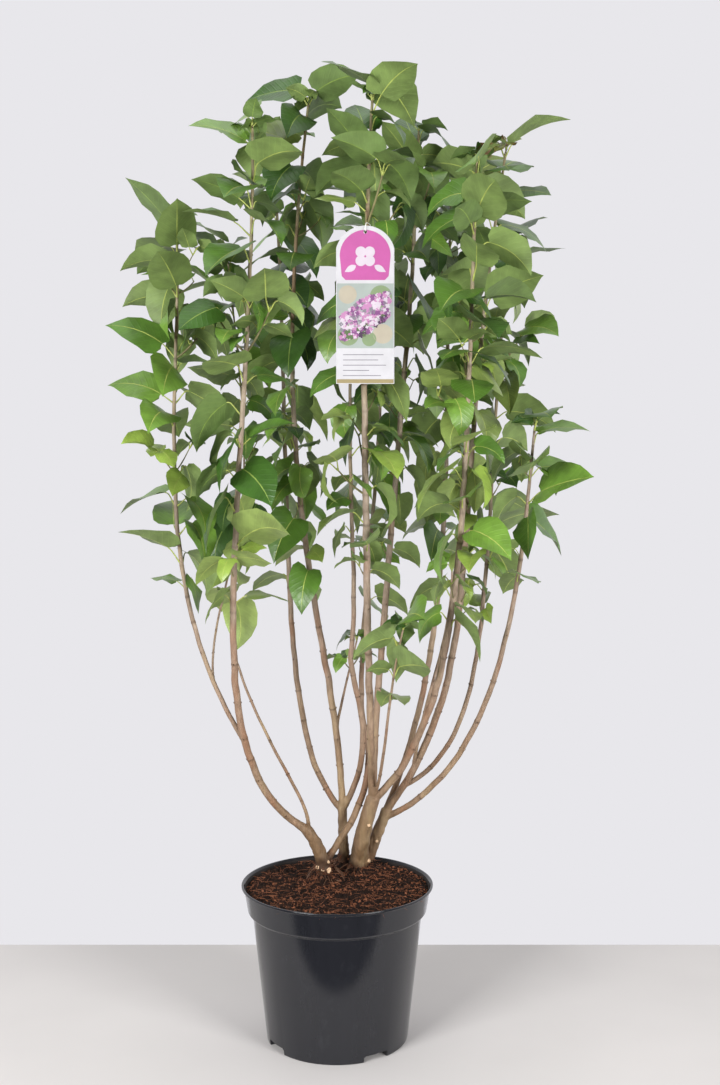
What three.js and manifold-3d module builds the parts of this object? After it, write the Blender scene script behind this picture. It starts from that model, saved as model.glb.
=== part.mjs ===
// A many-stemmed lilac bush standing in its nursery pot, with a hang tag tied to the middle stem.
// Millimetres, +Z up. The origin is the middle of the pot's flat underside, and +Y is the back.
// Four short trunks rise from the compost. Bare boughs leave them and carry one leafy mass each.
import * as THREE from "three";
import { mergeVertices } from "three/addons/utils/BufferGeometryUtils.js";
import Module from "manifold-3d";

const wasm = await Module();
wasm.setup();

const GAP = 0.3; // clearance between neighbouring solids
const WOOD_GAP = 0.4; // the same where faceted limbs meet

const POT = {
  height: 259,
  footRadius: 118,
  bodyRadius: 141.5,
  collarFoot: 214,
  collarRadius: 149.5,
  rimRadius: 155.5,
  lipRadius: 160,
  lipHeight: 5,
  wall: 2.5,
  floor: 4,
  footStep: 15,
  footStepRadius: 92,
  floorStep: 6,
  sides: 36,
};
const COLLAR = { tuck: 2.5, tuckHeight: 3, bodyEnd: 3, lipBevel: 1.5, innerFoot: 8 };
const NOTCH = { count: 4, first: -57, span: 22, depth: 22, height: 11 };

const COMPOST = { top: 254, edgeTop: 247, edgeShare: 0.55, shoulderRadius: 120, edgeInset: 1.2 };

const TAG = {
  width: 89,
  height: 241,
  thickness: 1,
  arcRadius: 46,
  centre: [46, -135, 1200.5],
  holeRadius: 2.6,
  holeDrop: 9.5,
};

// The tie hangs on the stem and carries the tag by the top edge of its hole. The loop's points are
// offsets from the hole, or from the stem's middle at that height, in the order it is threaded.
const TIE = {
  radius: 0.6,
  sides: 4,
  steps: 22,
  stemClear: 5,
  stemRise: 9,
  beforeHole: [0, -3, 0.2],
  behindHole: [0, 2.5, 0.2],
  roundStem: [[-1, 0, 5], [0, 1, 10], [1, 0, 14]],
  overTag: [[2, -1, 13.5], [0, -3.5, 6.5]],
};

// Trunks stand on the compost. path is the foot, knee, shoulder and tip of a cubic curve.
// Stubs are the cut ends of old shoots: fraction of height, bearing in degrees, radius, length.
const TRUNKS = [
  {
    name: "trunk_left",
    path: [[-20, 38, 254], [-25, 32, 268], [-22, 11, 310], [-55, 10, 350]],
    radii: [13.5, 9],
    flare: 0.3,
    stubs: [[0.22, -62, 5.4, 19.5], [0.3, -128, 4, 18.5], [0.26, -95, 3.6, 18.5], [0.42, -45, 3.6, 15]],
  },
  {
    name: "trunk_middle",
    path: [[35, 90, 254], [39, 80, 291], [38, 63, 314], [61, 60, 388]],
    radii: [15.5, 12],
    flare: 0.35,
    stubs: [[0.1, -28, 4.2, 22], [0.72, -62, 3.8, 16]],
  },
  {
    name: "trunk_right",
    path: [[48, 106, 254], [55, 101, 288], [72, 96, 318], [84, 95, 358]],
    radii: [11.5, 9],
    flare: 0.3,
    stubs: [[0.45, -66, 3.2, 14]],
  },
  {
    name: "trunk_back",
    path: [[8, 108, 254], [11, 101, 288], [9, 96, 304], [7, 95, 362]],
    radii: [9, 8],
    flare: 0.3,
    stubs: [],
  },
];

// Stems leave a trunk or an older stem at the fraction `at` of its length. path is the rest of the
// curve: knee, shoulder and tip, and three more points where the stem bends back on itself.
// leafy is the fraction of the stem where its leaves begin; a bare shoot has none.
const STEMS = [
  {
    name: "centre_front",
    from: "trunk_middle",
    at: 0.97,
    path: [[48, -55, 790], [36, -121, 1148], [57, -120, 1515]],
    radii: [6.2, 2],
    leafy: 0.3,
    seed: 20,
  },
  {
    name: "left_front",
    from: "trunk_left",
    at: 0.97,
    path: [[-256, -29, 471], [-124, -124, 914], [-126, -131, 1470]],
    radii: [6.3, 2],
    leafy: 0.46,
    seed: 70,
  },
  {
    name: "left_middle",
    from: "trunk_back",
    at: 0.97,
    path: [[1, 62, 681], [-131, 29, 871], [-46, 19, 1550]],
    radii: [5.8, 2],
    leafy: 0.42,
    seed: 33,
  },
  {
    name: "right_middle",
    from: "trunk_right",
    at: 0.97,
    path: [[267, 66, 615], [179, 39, 829], [279, 29, 1475]],
    radii: [6.2, 2],
    leafy: 0.42,
    seed: 3,
  },
  {
    name: "centre_right",
    from: "trunk_middle",
    at: 0.97,
    path: [[76, 73, 775], [128, 80, 1148], [137, 80, 1520]],
    radii: [5.7, 2],
    leafy: 0.33,
    seed: 20,
  },
  {
    name: "right_front",
    from: "trunk_middle",
    at: 0.97,
    path: [[224, 3, 545], [197, -130, 909], [216, -142, 1418]],
    radii: [6.2, 2],
    leafy: 0.4,
    seed: 61,
  },
  {
    name: "far_right",
    from: "trunk_right",
    at: 0.86,
    path: [[297, 24, 450], [302, -35, 822], [322, -29, 1021]],
    radii: [5.1, 2],
    leafy: 0.6,
    seed: 44,
  },
  {
    name: "right_back",
    from: "trunk_right",
    at: 0.97,
    path: [[225, 189, 668], [185, 229, 1042], [203, 230, 1440]],
    radii: [5.4, 2],
    leafy: 0.4,
    seed: 50,
  },
  {
    name: "left_back",
    from: "trunk_back",
    at: 0.97,
    path: [[-123, 128, 469], [-78, 220, 947], [-119, 220, 1540]],
    radii: [5.3, 2],
    leafy: 0.46,
    seed: 74,
  },
  {
    name: "centre_left",
    from: "trunk_back",
    at: 0.97,
    path: [[82, 69, 486], [15, 60, 597], [22, 54, 638], [40, 37, 737], [6, 15, 972], [31, 9, 1294]],
    radii: [5.2, 2],
    leafy: 0.64,
    seed: 37,
  },
  {
    name: "centre_back",
    from: "trunk_left",
    at: 0.4,
    path: [[57, 78, 372], [61, 92, 443], [47, 107, 497], [19, 137, 603], [92, 217, 946], [80, 221, 1450]],
    radii: [5.8, 2],
    leafy: 0.66,
    seed: 9,
  },
  {
    name: "far_left",
    from: "left_front",
    at: 0.255,
    path: [[-317, -25, 770], [-251, -11, 1056], [-260, -10, 1350]],
    radii: [3.9, 2],
    leafy: 0.27,
    seed: 14,
  },
  {
    name: "right_rear",
    from: "right_middle",
    at: 0.06,
    path: [[297, 95, 477], [242, 147, 857], [303, 150, 1354]],
    radii: [4.3, 2],
    leafy: 0.44,
    seed: 5,
  },
  {
    name: "right_low",
    from: "right_middle",
    at: 0.1,
    path: [[143, 30, 563], [195, 5, 672], [190, 0, 794]],
    radii: [2.9, 1.4],
    leafy: 0.55,
    size: 0.85,
    seed: 64,
  },
  {
    name: "centre_low",
    from: "trunk_middle",
    at: 0.97,
    path: [[84, 25, 447], [75, -71, 552], [107, -81, 696]],
    radii: [2.8, 1.4],
    leafy: 0.6,
    size: 0.9,
    seed: 44,
  },
  {
    name: "back_low",
    from: "left_middle",
    at: 0.15,
    path: [[2, 84, 536], [8, 102, 552], [33, 105, 655]],
    radii: [2.5, 1.4],
    leafy: 0.6,
    size: 0.7,
    seed: 42,
  },
  {
    name: "left_low",
    from: "far_left",
    at: 0.12,
    path: [
      [-225, 65, 652],
      [-192, 117, 746],
      [-171, 119, 863],
      [-152, 121, 968],
      [-176, 150, 1150],
      [-196, 162, 1330],
    ],
    radii: [1.9, 1.4],
    size: 0.9,
    leafy: 0.26,
    seed: 59,
  },
  {
    name: "left_bare",
    from: "trunk_left",
    at: 0.93,
    path: [[-43, 32, 390], [-130, 89, 468], [-176, 90, 620]],
    radii: [2.9, 2.1],
    leafy: 1,
    seed: 3,
  },
];

const LIMB_SIDES = 6;
const LIMB_STEP = 75; // length of one ring of facets along a bough
const STEM_SIDES = 4;
const STEM_STEP = 80;
const STEM_STEPS_LEAST = 3; // so that a short stem still follows its curve
const TRUNK_SIDES = 10;
const TRUNK_STEPS = 6;
const TRUNK_START = -0.15; // where a trunk's curve starts below the compost, before it is cut flat
const FLARE_REACH = 0.16; // fraction of a trunk's length in which its root flare fades
const STEM_TAPER = 2; // a stem thins mostly near its tip
const STUB_RISE = 20;
const BEND_STEP = 0.004; // fraction of a limb over which its direction is read

// The rule by which leaves and side twigs grow, in millimetres and degrees.
const GROWTH = {
  nodeStart: 20,
  nodeStep: [54, 24],
  keep: [0.62, 1],
  twigShare: 0.1,
  twigBelow: 0.8,
  twigLength: [38, 80],
  twigRise: [38, 58],
  twigRadius: 1.5,
  twigTaper: 0.8,
  twigEnd: 1.2, // how far a twig runs on past the roots of its leaves
  twigLeaves: [[-70, 0.9], [70, 0.9], [0, 0.75]],
  bearingSpread: 18,
  stalk: [22, 34],
  stalkRadius: 1.2,
  rootRadius: 0.6,
  rootOffset: 0.8,
  stalkRise: [28, 56],
  topRise: 20,
  blade: [84, 110],
  bladeWidth: [0.7, 0.86],
  bladePitch: [-30, 36],
  topPitch: 20,
  bladeBend: [14, 58],
  roll: 52,
  yaw: 26,
  fold: 17,
  widest: 0.34,
  thickness: 1.7,
};
const TURNS = [0, 28, -28, 52, -52, 76, -76];
const TURN_DROOP = 9;
const TURN_SHRINK = 0.05;
const SPACE_GAP = 3; // how much nearer its own stem than another's a leaf stays
const LIMB_CLEAR = 7; // how far a leaf keeps from a bare limb's surface
const LEAF_CLEAR = 7; // the least distance between the test points of two leaves
const TOP_SHARE = 0.995; // no node stands closer to a stem's tip than this
const SOIL_CLEAR = 40; // how far a leaf keeps above the pot
const TAG_CLEAR = { side: 6, above: 18 };
const STALK_SHARES = [0.5, 0.75, 1];
const FACET_CUTS = 4;
const TWIG_SHARES = [0.3, 0.5, 0.7, 0.9, 1];
const SAMPLES = 28;

const UP = new THREE.Vector3(0, 0, 1);
const ACROSS = new THREE.Vector3(0, 1, 0);
const RAD = Math.PI / 180;
const mix = (low, high, share) => low + (high - low) * share;

// A small seeded generator of numbers from 0 to 1, the same on every machine.
function randomFrom(seed) {
  let state = (seed * 2654435761) >>> 0;
  return () => {
    state = (Math.imul(state, 1664525) + 1013904223) >>> 0;
    return (state >>> 8) / 16777216;
  };
}

// Solids

function closedSolid(geometry) {
  geometry.deleteAttribute("normal");
  geometry.deleteAttribute("uv");
  const merged = mergeVertices(geometry, 1e-4);
  const mesh = new wasm.Mesh({
    numProp: 3,
    vertProperties: new Float32Array(merged.attributes.position.array),
    triVerts: new Uint32Array(merged.index.array),
  });
  return new wasm.Manifold(mesh);
}

function asGeometry(solid) {
  const mesh = solid.getMesh();
  const geometry = new THREE.BufferGeometry();
  geometry.setAttribute("position", new THREE.BufferAttribute(mesh.vertProperties, 3));
  geometry.setIndex(new THREE.BufferAttribute(mesh.triVerts, 1));
  return geometry;
}

const largestPiece = (solid) =>
  solid.decompose().reduce((best, piece) => (piece.volume() > best.volume() ? piece : best));

const joined = (solids) => solids.reduce((whole, solid) => whole.add(solid));

// Limbs

// A limb's curve is one cubic, or two in a row.
function makeLimb({ name, path, radii, flare = 0, taper = 1 }) {
  const points = path.map((p) => new THREE.Vector3(...p));
  const pieces = [];
  for (let i = 0; i + 3 < points.length; i += 3) {
    pieces.push(new THREE.CubicBezierCurve3(...points.slice(i, i + 4)));
  }
  const pieceAt = (t) => Math.min(pieces.length - 1, Math.max(0, Math.floor(t * pieces.length)));
  const point = (t) => {
    const k = pieceAt(t);
    return pieces[k].getPoint(t * pieces.length - k);
  };
  const chord = (t) => point(t + BEND_STEP).sub(point(t - BEND_STEP));
  const direction = (t) => chord(t).normalize();
  const lengthAt = (t) => chord(t).length() / (2 * BEND_STEP);
  const radius = (t) => mix(radii[0], radii[1], t ** taper) * (1 + flare * Math.exp(-t / FLARE_REACH));
  const length = pieces.reduce((sum, piece) => sum + piece.getLength(), 0);
  return { name, point, direction, lengthAt, radius, length };
}

// Two directions square to the limb at t, the first one as near +Y as can be.
function frameAt(limb, t) {
  const along = limb.direction(t);
  const first = ACROSS.clone().addScaledVector(along, -ACROSS.dot(along)).normalize();
  return [first, first.clone().cross(along)];
}

// A cylinder bent along the limb from one fraction to another, with its taper.
function limbSolid(limb, from, to, sides, steps, extra = 0) {
  const geometry = new THREE.CylinderGeometry(1, 1, 1, sides, steps);
  const position = geometry.attributes.position;
  for (let i = 0; i < position.count; i += 1) {
    const t = mix(from, to, position.getY(i) + 0.5);
    const [first, second] = frameAt(limb, t);
    const reach = limb.radius(t) + extra;
    const place = limb.point(t);
    place.addScaledVector(first, position.getX(i) * reach);
    place.addScaledVector(second, position.getZ(i) * reach);
    position.setXYZ(i, place.x, place.y, place.z);
  }
  return closedSolid(geometry);
}

const stepsFor = (limb, from, to, step, least = 2) =>
  Math.max(least, Math.round((limb.length * (to - from)) / step));

// Leaves: each is worked out first as a few points, then tested, then made a solid.

const heading = (bearing) => new THREE.Vector3(Math.cos(bearing * RAD), Math.sin(bearing * RAD), 0);

const tilted = (bearing, rise) =>
  heading(bearing).multiplyScalar(Math.cos(rise * RAD)).addScaledVector(UP, Math.sin(rise * RAD));

// The draws that fix one leaf; turn is which of the tries this is.
function drawLeaf(random, height) {
  const g = GROWTH;
  const nearTop = height ** 4;
  return {
    stalk: mix(...g.stalk, random()),
    rise: mix(...g.stalkRise, random()) + g.topRise * nearTop,
    blade: mix(...g.blade, random()),
    width: mix(...g.bladeWidth, random()),
    pitch: mix(...g.bladePitch, random()) + g.topPitch * nearTop,
    bend: mix(...g.bladeBend, random()),
    roll: mix(-g.roll, g.roll, random()),
    yaw: mix(-g.yaw, g.yaw, random()),
  };
}

// The leaf's skeleton: its root, the foot of its blade, the widest place and the drawn-out tip.
function layLeaf(root, rootRadius, bearing, draw, size, turn) {
  const scale = size * (1 - TURN_SHRINK * turn);
  const turned = bearing + TURNS[turn];
  const stalkWay = tilted(turned, draw.rise);
  const foot = root.clone().addScaledVector(stalkWay, rootRadius + draw.stalk * scale);
  const bladeBearing = turned + draw.yaw;
  const length = draw.blade * scale;
  const bend = (draw.bend + TURN_DROOP * turn) * RAD;
  const pitch = (draw.pitch - TURN_DROOP * turn) * RAD;
  const along = heading(bladeBearing);
  const midrib = (share) => {
    const angle = pitch - bend * share;
    const out = (length / bend) * (Math.sin(pitch) - Math.sin(angle));
    const up = (length / bend) * (Math.cos(angle) - Math.cos(pitch));
    return foot.clone().addScaledVector(along, out).addScaledVector(UP, up);
  };
  const widest = midrib(GROWTH.widest);
  const wayAtWidest = tilted(bladeBearing, (pitch - bend * GROWTH.widest) / RAD);
  const side = heading(bladeBearing + 90).applyAxisAngle(wayAtWidest, draw.roll * RAD);
  const face = side.clone().cross(wayAtWidest).negate();
  const half = (length * draw.width) / 2;
  const fold = GROWTH.fold * RAD;
  const edge = (way) =>
    widest
      .clone()
      .addScaledVector(side, way * half * Math.cos(fold))
      .addScaledVector(face, half * Math.sin(fold));
  return { root, rootRadius, foot, stalkWay, widest, face, left: edge(1), right: edge(-1), tip: midrib(1) };
}

const facetsOf = ({ foot, left, right, widest, tip }) => [
  [foot, left, widest], [foot, right, widest], [tip, left, widest], [tip, right, widest],
];

const edgesOf = ({ root, foot, left, right, widest, tip }) => [
  [root, foot], [foot, left], [foot, right], [foot, widest],
  [left, tip], [right, tip], [widest, tip], [left, widest], [right, widest],
];

// Points spread over the stalk and the blade's four facets, close enough to miss no limb.
function spread(leaf) {
  const points = STALK_SHARES.map((share) => leaf.root.clone().lerp(leaf.foot, share));
  const cuts = FACET_CUTS;
  for (const [a, b, c] of facetsOf(leaf)) {
    for (let i = 0; i <= cuts; i += 1) {
      for (let j = 0; i + j <= cuts; j += 1) {
        const p = a.clone().multiplyScalar(i / cuts).addScaledVector(b, j / cuts);
        points.push(p.addScaledVector(c, 1 - (i + j) / cuts));
      }
    }
  }
  return points;
}

// A thin folded blade with four facets a side, on a three-sided stalk sunk in the wood.
function leafSolid(leaf) {
  const g = GROWTH;
  const stalkSide = new THREE.Vector3(-leaf.stalkWay.y, leaf.stalkWay.x, 0).normalize();
  const stalkFace = leaf.stalkWay.clone().cross(stalkSide);
  const corner = (centre, aside, above) =>
    centre.clone().addScaledVector(stalkSide, aside).addScaledVector(stalkFace, above);
  const stalkEnd = (centre, radius) => [
    corner(centre, radius, radius / 2),
    corner(centre, -radius, radius / 2),
    corner(centre, 0, -radius),
  ];
  const [upper, lower] = [0.5, -0.5].map((share) =>
    leaf.widest.clone().addScaledVector(leaf.face, share * g.thickness),
  );
  const sunk = leaf.root.clone().addScaledVector(leaf.stalkWay, Math.min(g.rootOffset, leaf.rootRadius));
  const corners = [
    ...stalkEnd(sunk, g.rootRadius),
    ...stalkEnd(leaf.foot, g.stalkRadius),
    leaf.left, leaf.right, upper, lower, leaf.tip,
  ];
  const [rootL, rootR, rootB, footL, footR, footB, left, right, top, under, tip] = corners.keys();
  const faces = [
    [rootL, rootB, rootR],
    [rootL, rootR, footR], [rootL, footR, footL],
    [rootR, rootB, footB], [rootR, footB, footR],
    [rootB, rootL, footL], [rootB, footL, footB],
    [footL, footR, top], [footL, top, left], [footR, right, top],
    [footL, left, under], [footL, under, footB], [footR, footB, under], [footR, under, right],
    [left, top, tip], [top, right, tip], [right, under, tip], [under, left, tip],
  ];
  const geometry = new THREE.BufferGeometry().setFromPoints(corners);
  geometry.setIndex(faces.flat());
  return closedSolid(geometry);
}

function twigSolid(start, leafRoots) {
  const radius = GROWTH.twigRadius;
  const geometry = new THREE.CylinderGeometry(radius * GROWTH.twigTaper, radius, 1, 3, 1);
  const way = leafRoots.clone().sub(start);
  way.setLength(way.length() + GROWTH.twigEnd);
  const turn = new THREE.Quaternion().setFromUnitVectors(ACROSS, way.clone().normalize());
  geometry.scale(1, way.length(), 1);
  geometry.applyQuaternion(turn);
  geometry.translate(...start.clone().addScaledVector(way, 0.5).toArray());
  return closedSolid(geometry);
}

// Space kept by each mass

function sampled(limb, from, to) {
  const points = [];
  for (let i = 0; i <= SAMPLES; i += 1) {
    const t = mix(from, to, i / SAMPLES);
    points.push({ place: limb.point(t), radius: limb.radius(t) });
  }
  return points;
}

function distanceTo(line, p) {
  let best = Infinity;
  for (let i = 0; i + 1 < line.length; i += 1) {
    const a = line[i].place;
    const b = line[i + 1].place;
    const [dx, dy, dz] = [b.x - a.x, b.y - a.y, b.z - a.z];
    const along = (p.x - a.x) * dx + (p.y - a.y) * dy + (p.z - a.z) * dz;
    const share = Math.min(1, Math.max(0, along / (dx * dx + dy * dy + dz * dz)));
    const gap = Math.hypot(p.x - a.x - dx * share, p.y - a.y - dy * share, p.z - a.z - dz * share);
    best = Math.min(best, gap - (line.bare ? line[i].radius : 0));
  }
  return best;
}

function inFrontOfTag(p) {
  const { side, above } = TAG_CLEAR;
  const [x, y, z] = TAG.centre;
  const beside = Math.abs(p.x - x) > TAG.width / 2 + side;
  const over = p.z > z + TAG.height / 2 + above;
  const under = p.z < z - TAG.height / 2 - side;
  return !beside && !over && !under && p.y < y + side;
}

function fits(points, own, stems) {
  for (const p of points) {
    if (inFrontOfTag(p) || p.z < POT.height + SOIL_CLEAR) return false;
    for (const stem of stems) {
      if (distanceTo(stem.bareLine, p) < LIMB_CLEAR) return false;
    }
    const home = own.leafLine ? distanceTo(own.leafLine, p) : 0;
    for (const stem of stems) {
      if (stem === own || !stem.leafLine) continue;
      if (distanceTo(stem.leafLine, p) < home + SPACE_GAP) return false;
    }
  }
  return true;
}

// Whether any of the lines passes through any of the facets.
function pierces(lines, facets) {
  const hit = new THREE.Vector3();
  return lines.some(([from, to]) => {
    const ray = new THREE.Ray(from, to.clone().sub(from).normalize());
    const reach = from.distanceTo(to);
    return facets.some(
      ([a, b, c]) => ray.intersectTriangle(a, b, c, false, hit) !== null && hit.distanceTo(from) < reach,
    );
  });
}

// No leaf cuts through a twig, its stem or another leaf of its mass. Only the stalks may meet.
function clearOf(leaf, leaves, wood) {
  const bladePoints = (points) => points.slice(STALK_SHARES.length - 1);
  const blade = bladePoints(leaf.points);
  const [edges, facets] = [edgesOf(leaf), facetsOf(leaf)];
  if (pierces(wood, facets)) return false;
  return leaves.every(
    (other) =>
      bladePoints(other.points).every((q) => blade.every((p) => p.distanceTo(q) > LEAF_CLEAR)) &&
      !pierces(edges, facetsOf(other)) &&
      !pierces(edgesOf(other), facets),
  );
}

// The leaves and twigs of one stem, as skeletons that fit its space. Pairs of leaves, or of twigs,
// stand opposite each other at nodes that close up towards the tip, each pair square to the last.
function grow(own, stems) {
  const g = GROWTH;
  const leaves = [];
  const twigs = [];
  const wood = own.leafLine.slice(1).map(({ place }, i) => [own.leafLine[i].place, place]);
  const size = own.size ?? 1;
  const leafyLength = own.limb.length * (1 - own.leafy);
  const firstBearing = randomFrom(own.seed)() * 180;
  const tryLeaf = (root, radius, bearing, random, share, scale) => {
    const draw = drawLeaf(random, share);
    for (let turn = 0; turn < TURNS.length; turn += 1) {
      const leaf = layLeaf(root, radius, bearing, draw, scale * size, turn);
      leaf.points = spread(leaf);
      if (fits(leaf.points, own, stems) && clearOf(leaf, leaves, wood)) {
        leaves.push(leaf);
        return;
      }
    }
  };
  let along = g.nodeStart;
  for (let node = 0; along < leafyLength; node += 1) {
    const share = along / leafyLength;
    const t = mix(own.leafy, 1, Math.min(share, TOP_SHARE));
    const root = own.limb.point(t);
    const radius = own.limb.radius(t);
    for (const way of [0, 1]) {
      const random = randomFrom(own.seed * 1000 + node * 2 + way);
      const astray = mix(-g.bearingSpread, g.bearingSpread, random());
      const bearing = firstBearing + node * 90 + way * 180 + astray;
      const kept = random() < mix(...g.keep, share);
      const branches = random() < g.twigShare && share < g.twigBelow;
      const twigWay = tilted(bearing, mix(...g.twigRise, random()));
      const twigLength = mix(...g.twigLength, random()) * size;
      if (!kept) continue;
      if (!branches) {
        tryLeaf(root, radius, bearing, random, share, 1);
        continue;
      }
      const end = root.clone().addScaledVector(twigWay, twigLength);
      const line = TWIG_SHARES.map((s) => root.clone().lerp(end, s));
      if (!fits(line, own, stems) || leaves.some((leaf) => pierces([[root, end]], facetsOf(leaf)))) continue;
      twigs.push([root, end]);
      wood.push([root, end]);
      for (const [aside, scale] of g.twigLeaves) {
        tryLeaf(end, 0, bearing + aside, random, share, scale);
      }
    }
    along += mix(...g.nodeStep, share);
  }
  return { leaves, twigs };
}

// Materials

const finish = (color, roughness) => new THREE.MeshStandardMaterial({ color, roughness, metalness: 0 });
const POT_FINISH = finish(0x2a2b2e, 0.5);
const COMPOST_FINISH = finish(0x3a2119, 1);
const BARK_FINISH = finish(0x7c6a55, 0.85);
const LEAF_FINISH = finish(0x3f6b2c, 0.5);
const TAG_FINISH = finish(0xd94f9c, 0.45);
const TIE_FINISH = finish(0xf0f0ee, 0.5);

const bush = new THREE.Group();

function place(name, geometry, material) {
  const mesh = new THREE.Mesh(geometry, material);
  mesh.name = name;
  bush.add(mesh);
}

// Pot and compost

function lathe(profile, sides) {
  const points = profile.map(([radius, height]) => new THREE.Vector2(radius, height));
  const geometry = new THREE.LatheGeometry(points, sides);
  geometry.rotateX(Math.PI / 2);
  return closedSolid(geometry);
}

const bodyAt = (height) => mix(POT.footRadius, POT.bodyRadius, height / POT.collarFoot);

function potSolid() {
  const p = POT;
  const c = COLLAR;
  const lipFoot = p.height - p.lipHeight;
  let pot = lathe(
    [
      [0, 0],
      [p.footRadius, 0],
      [p.bodyRadius, p.collarFoot - c.bodyEnd],
      [p.collarRadius - c.tuck, p.collarFoot],
      [p.collarRadius, p.collarFoot + c.tuckHeight],
      [p.rimRadius, lipFoot],
      [p.lipRadius, lipFoot + c.lipBevel],
      [p.lipRadius, p.height],
      [p.rimRadius - p.wall, p.height],
      [p.collarRadius - p.wall, p.collarFoot + c.innerFoot],
      [p.bodyRadius - p.wall, p.collarFoot],
      [bodyAt(p.footStep) - p.wall, p.footStep],
      [p.footStepRadius, p.footStep],
      [p.footStepRadius - p.floorStep, p.floor],
      [0, p.floor],
    ],
    p.sides,
  );
  for (let i = 0; i < NOTCH.count; i += 1) {
    const angle = NOTCH.first + (i * 360) / NOTCH.count;
    const width = 2 * p.footRadius * Math.sin((NOTCH.span / 2) * RAD);
    const cutter = new THREE.BoxGeometry(width, NOTCH.depth * 2, NOTCH.height * 2);
    cutter.translate(0, -p.footRadius, 0);
    cutter.rotateZ(angle * RAD);
    pot = pot.subtract(closedSolid(cutter));
  }
  return pot;
}

function compostSolid() {
  const p = POT;
  const inside = p.wall + 2 * GAP;
  const edge = mix(p.collarRadius, p.rimRadius, COMPOST.edgeShare) - inside;
  return lathe(
    [
      [0, p.floor + GAP],
      [p.footStepRadius - p.floorStep - GAP, p.floor + GAP],
      [p.footStepRadius - GAP, p.footStep + GAP],
      [bodyAt(p.footStep) - inside, p.footStep + GAP],
      [p.bodyRadius - inside, p.collarFoot],
      [p.collarRadius - inside, p.collarFoot + COLLAR.innerFoot + GAP],
      [edge - COMPOST.edgeInset, COMPOST.edgeTop],
      [COMPOST.shoulderRadius, COMPOST.top - GAP],
      [0, COMPOST.top - GAP],
    ],
    p.sides,
  );
}

// Tag and its tie

function tagSolid() {
  const t = TAG;
  const half = t.width / 2;
  const top = t.height / 2;
  const circle = top - t.arcRadius;
  const start = Math.asin(half / t.arcRadius);
  const shape = new THREE.Shape();
  shape.moveTo(-half, -top);
  shape.lineTo(half, -top);
  const shoulder = circle + t.arcRadius * Math.cos(start);
  shape.lineTo(half, shoulder);
  shape.absarc(0, circle, t.arcRadius, Math.PI / 2 - start, Math.PI / 2 + start, false);
  shape.lineTo(-half, -top);
  const hole = new THREE.Path();
  hole.absarc(0, top - t.holeDrop, t.holeRadius, 0, 2 * Math.PI, true);
  shape.holes.push(hole);
  const settings = { depth: t.thickness, bevelEnabled: false, curveSegments: 10 };
  const geometry = new THREE.ExtrudeGeometry(shape, settings);
  geometry.translate(0, 0, -t.thickness / 2);
  geometry.rotateX(Math.PI / 2);
  geometry.translate(...t.centre);
  return closedSolid(geometry);
}

// A loop up through the tag's hole, round the back of the stem and down over the tag's top edge.
function tieSolid(stem) {
  const [x, y, z] = TAG.centre;
  const hole = new THREE.Vector3(x, y, z + TAG.height / 2 - TAG.holeDrop);
  const heightOff = (place) => Math.abs(place.z - hole.z - TIE.stemRise);
  const stemPoints = sampled(stem.limb, stem.leafy, 1).map((sample) => sample.place);
  const behind = stemPoints.reduce((best, place) => (heightOff(place) < heightOff(best) ? place : best));
  const carried = TAG.holeRadius - TIE.radius - GAP;
  const seat = new THREE.Vector3(hole.x, hole.y, hole.z + carried);
  const beside = (from, offset) => from.clone().add(new THREE.Vector3(...offset));
  const round = (across, back, rise) =>
    new THREE.Vector3(across, back, 0).multiplyScalar(TIE.stemClear).add(behind).setZ(hole.z + rise);
  const loop = [
    beside(seat, TIE.beforeHole),
    beside(seat, TIE.behindHole),
    ...TIE.roundStem.map((offset) => round(...offset)),
    ...TIE.overTag.map((offset) => beside(hole, offset)),
  ];
  const curve = new THREE.CatmullRomCurve3(loop, true);
  return closedSolid(new THREE.TubeGeometry(curve, TIE.steps, TIE.radius, TIE.sides, true));
}

// Trunks

const belowSoil = new THREE.BoxGeometry(4 * POT.rimRadius, 4 * POT.rimRadius, POT.height);
belowSoil.translate(0, 0, COMPOST.top - POT.height / 2);
const ground = closedSolid(belowSoil);

function stubSolid(limb, [at, bearing, radius, length], extra) {
  const root = limb.point(at);
  const way = tilted(bearing, STUB_RISE);
  const stub = {
    point: (t) => root.clone().addScaledVector(way, t * (length + extra)),
    direction: () => way.clone(),
    radius: () => radius,
  };
  return limbSolid(stub, 0, 1, LIMB_SIDES, 1, extra);
}

// extra thickens the whole trunk, for the clearance that is cut round it.
const trunkSolid = (limb, stubs, extra = 0) =>
  joined([
    limbSolid(limb, TRUNK_START, 1, TRUNK_SIDES, TRUNK_STEPS, extra),
    ...stubs.map((stub) => stubSolid(limb, stub, extra)),
  ]);

// Assembly

place("pot", asGeometry(potSolid()), POT_FINISH);
place("compost", asGeometry(compostSolid()), COMPOST_FINISH);

const limbs = new Map();
const takenSpace = [];

// A solid clear of everything that already stands where it would grow.
const cutClear = (solid) => largestPiece(takenSpace.reduce((rest, taken) => rest.subtract(taken), solid));

for (const spec of TRUNKS) {
  const limb = makeLimb(spec);
  const trunk = trunkSolid(limb, spec.stubs).subtract(ground);
  place(spec.name, asGeometry(cutClear(trunk)), BARK_FINISH);
  limbs.set(spec.name, limb);
  takenSpace.push(trunkSolid(limb, spec.stubs, WOOD_GAP));
}

const stems = STEMS.map((spec) => {
  const foot = limbs.get(spec.from).point(spec.at).toArray();
  const limb = makeLimb({ ...spec, taper: STEM_TAPER, path: [foot, ...spec.path] });
  limbs.set(spec.name, limb);
  const bareLine = sampled(limb, 0, spec.leafy);
  bareLine.bare = true;
  const leafLine = spec.leafy < 1 ? sampled(limb, spec.leafy, 1) : null;
  const halfGap = GAP / 2 / limb.lengthAt(spec.leafy);
  return { ...spec, limb, bareLine, leafLine, halfGap };
});

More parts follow.
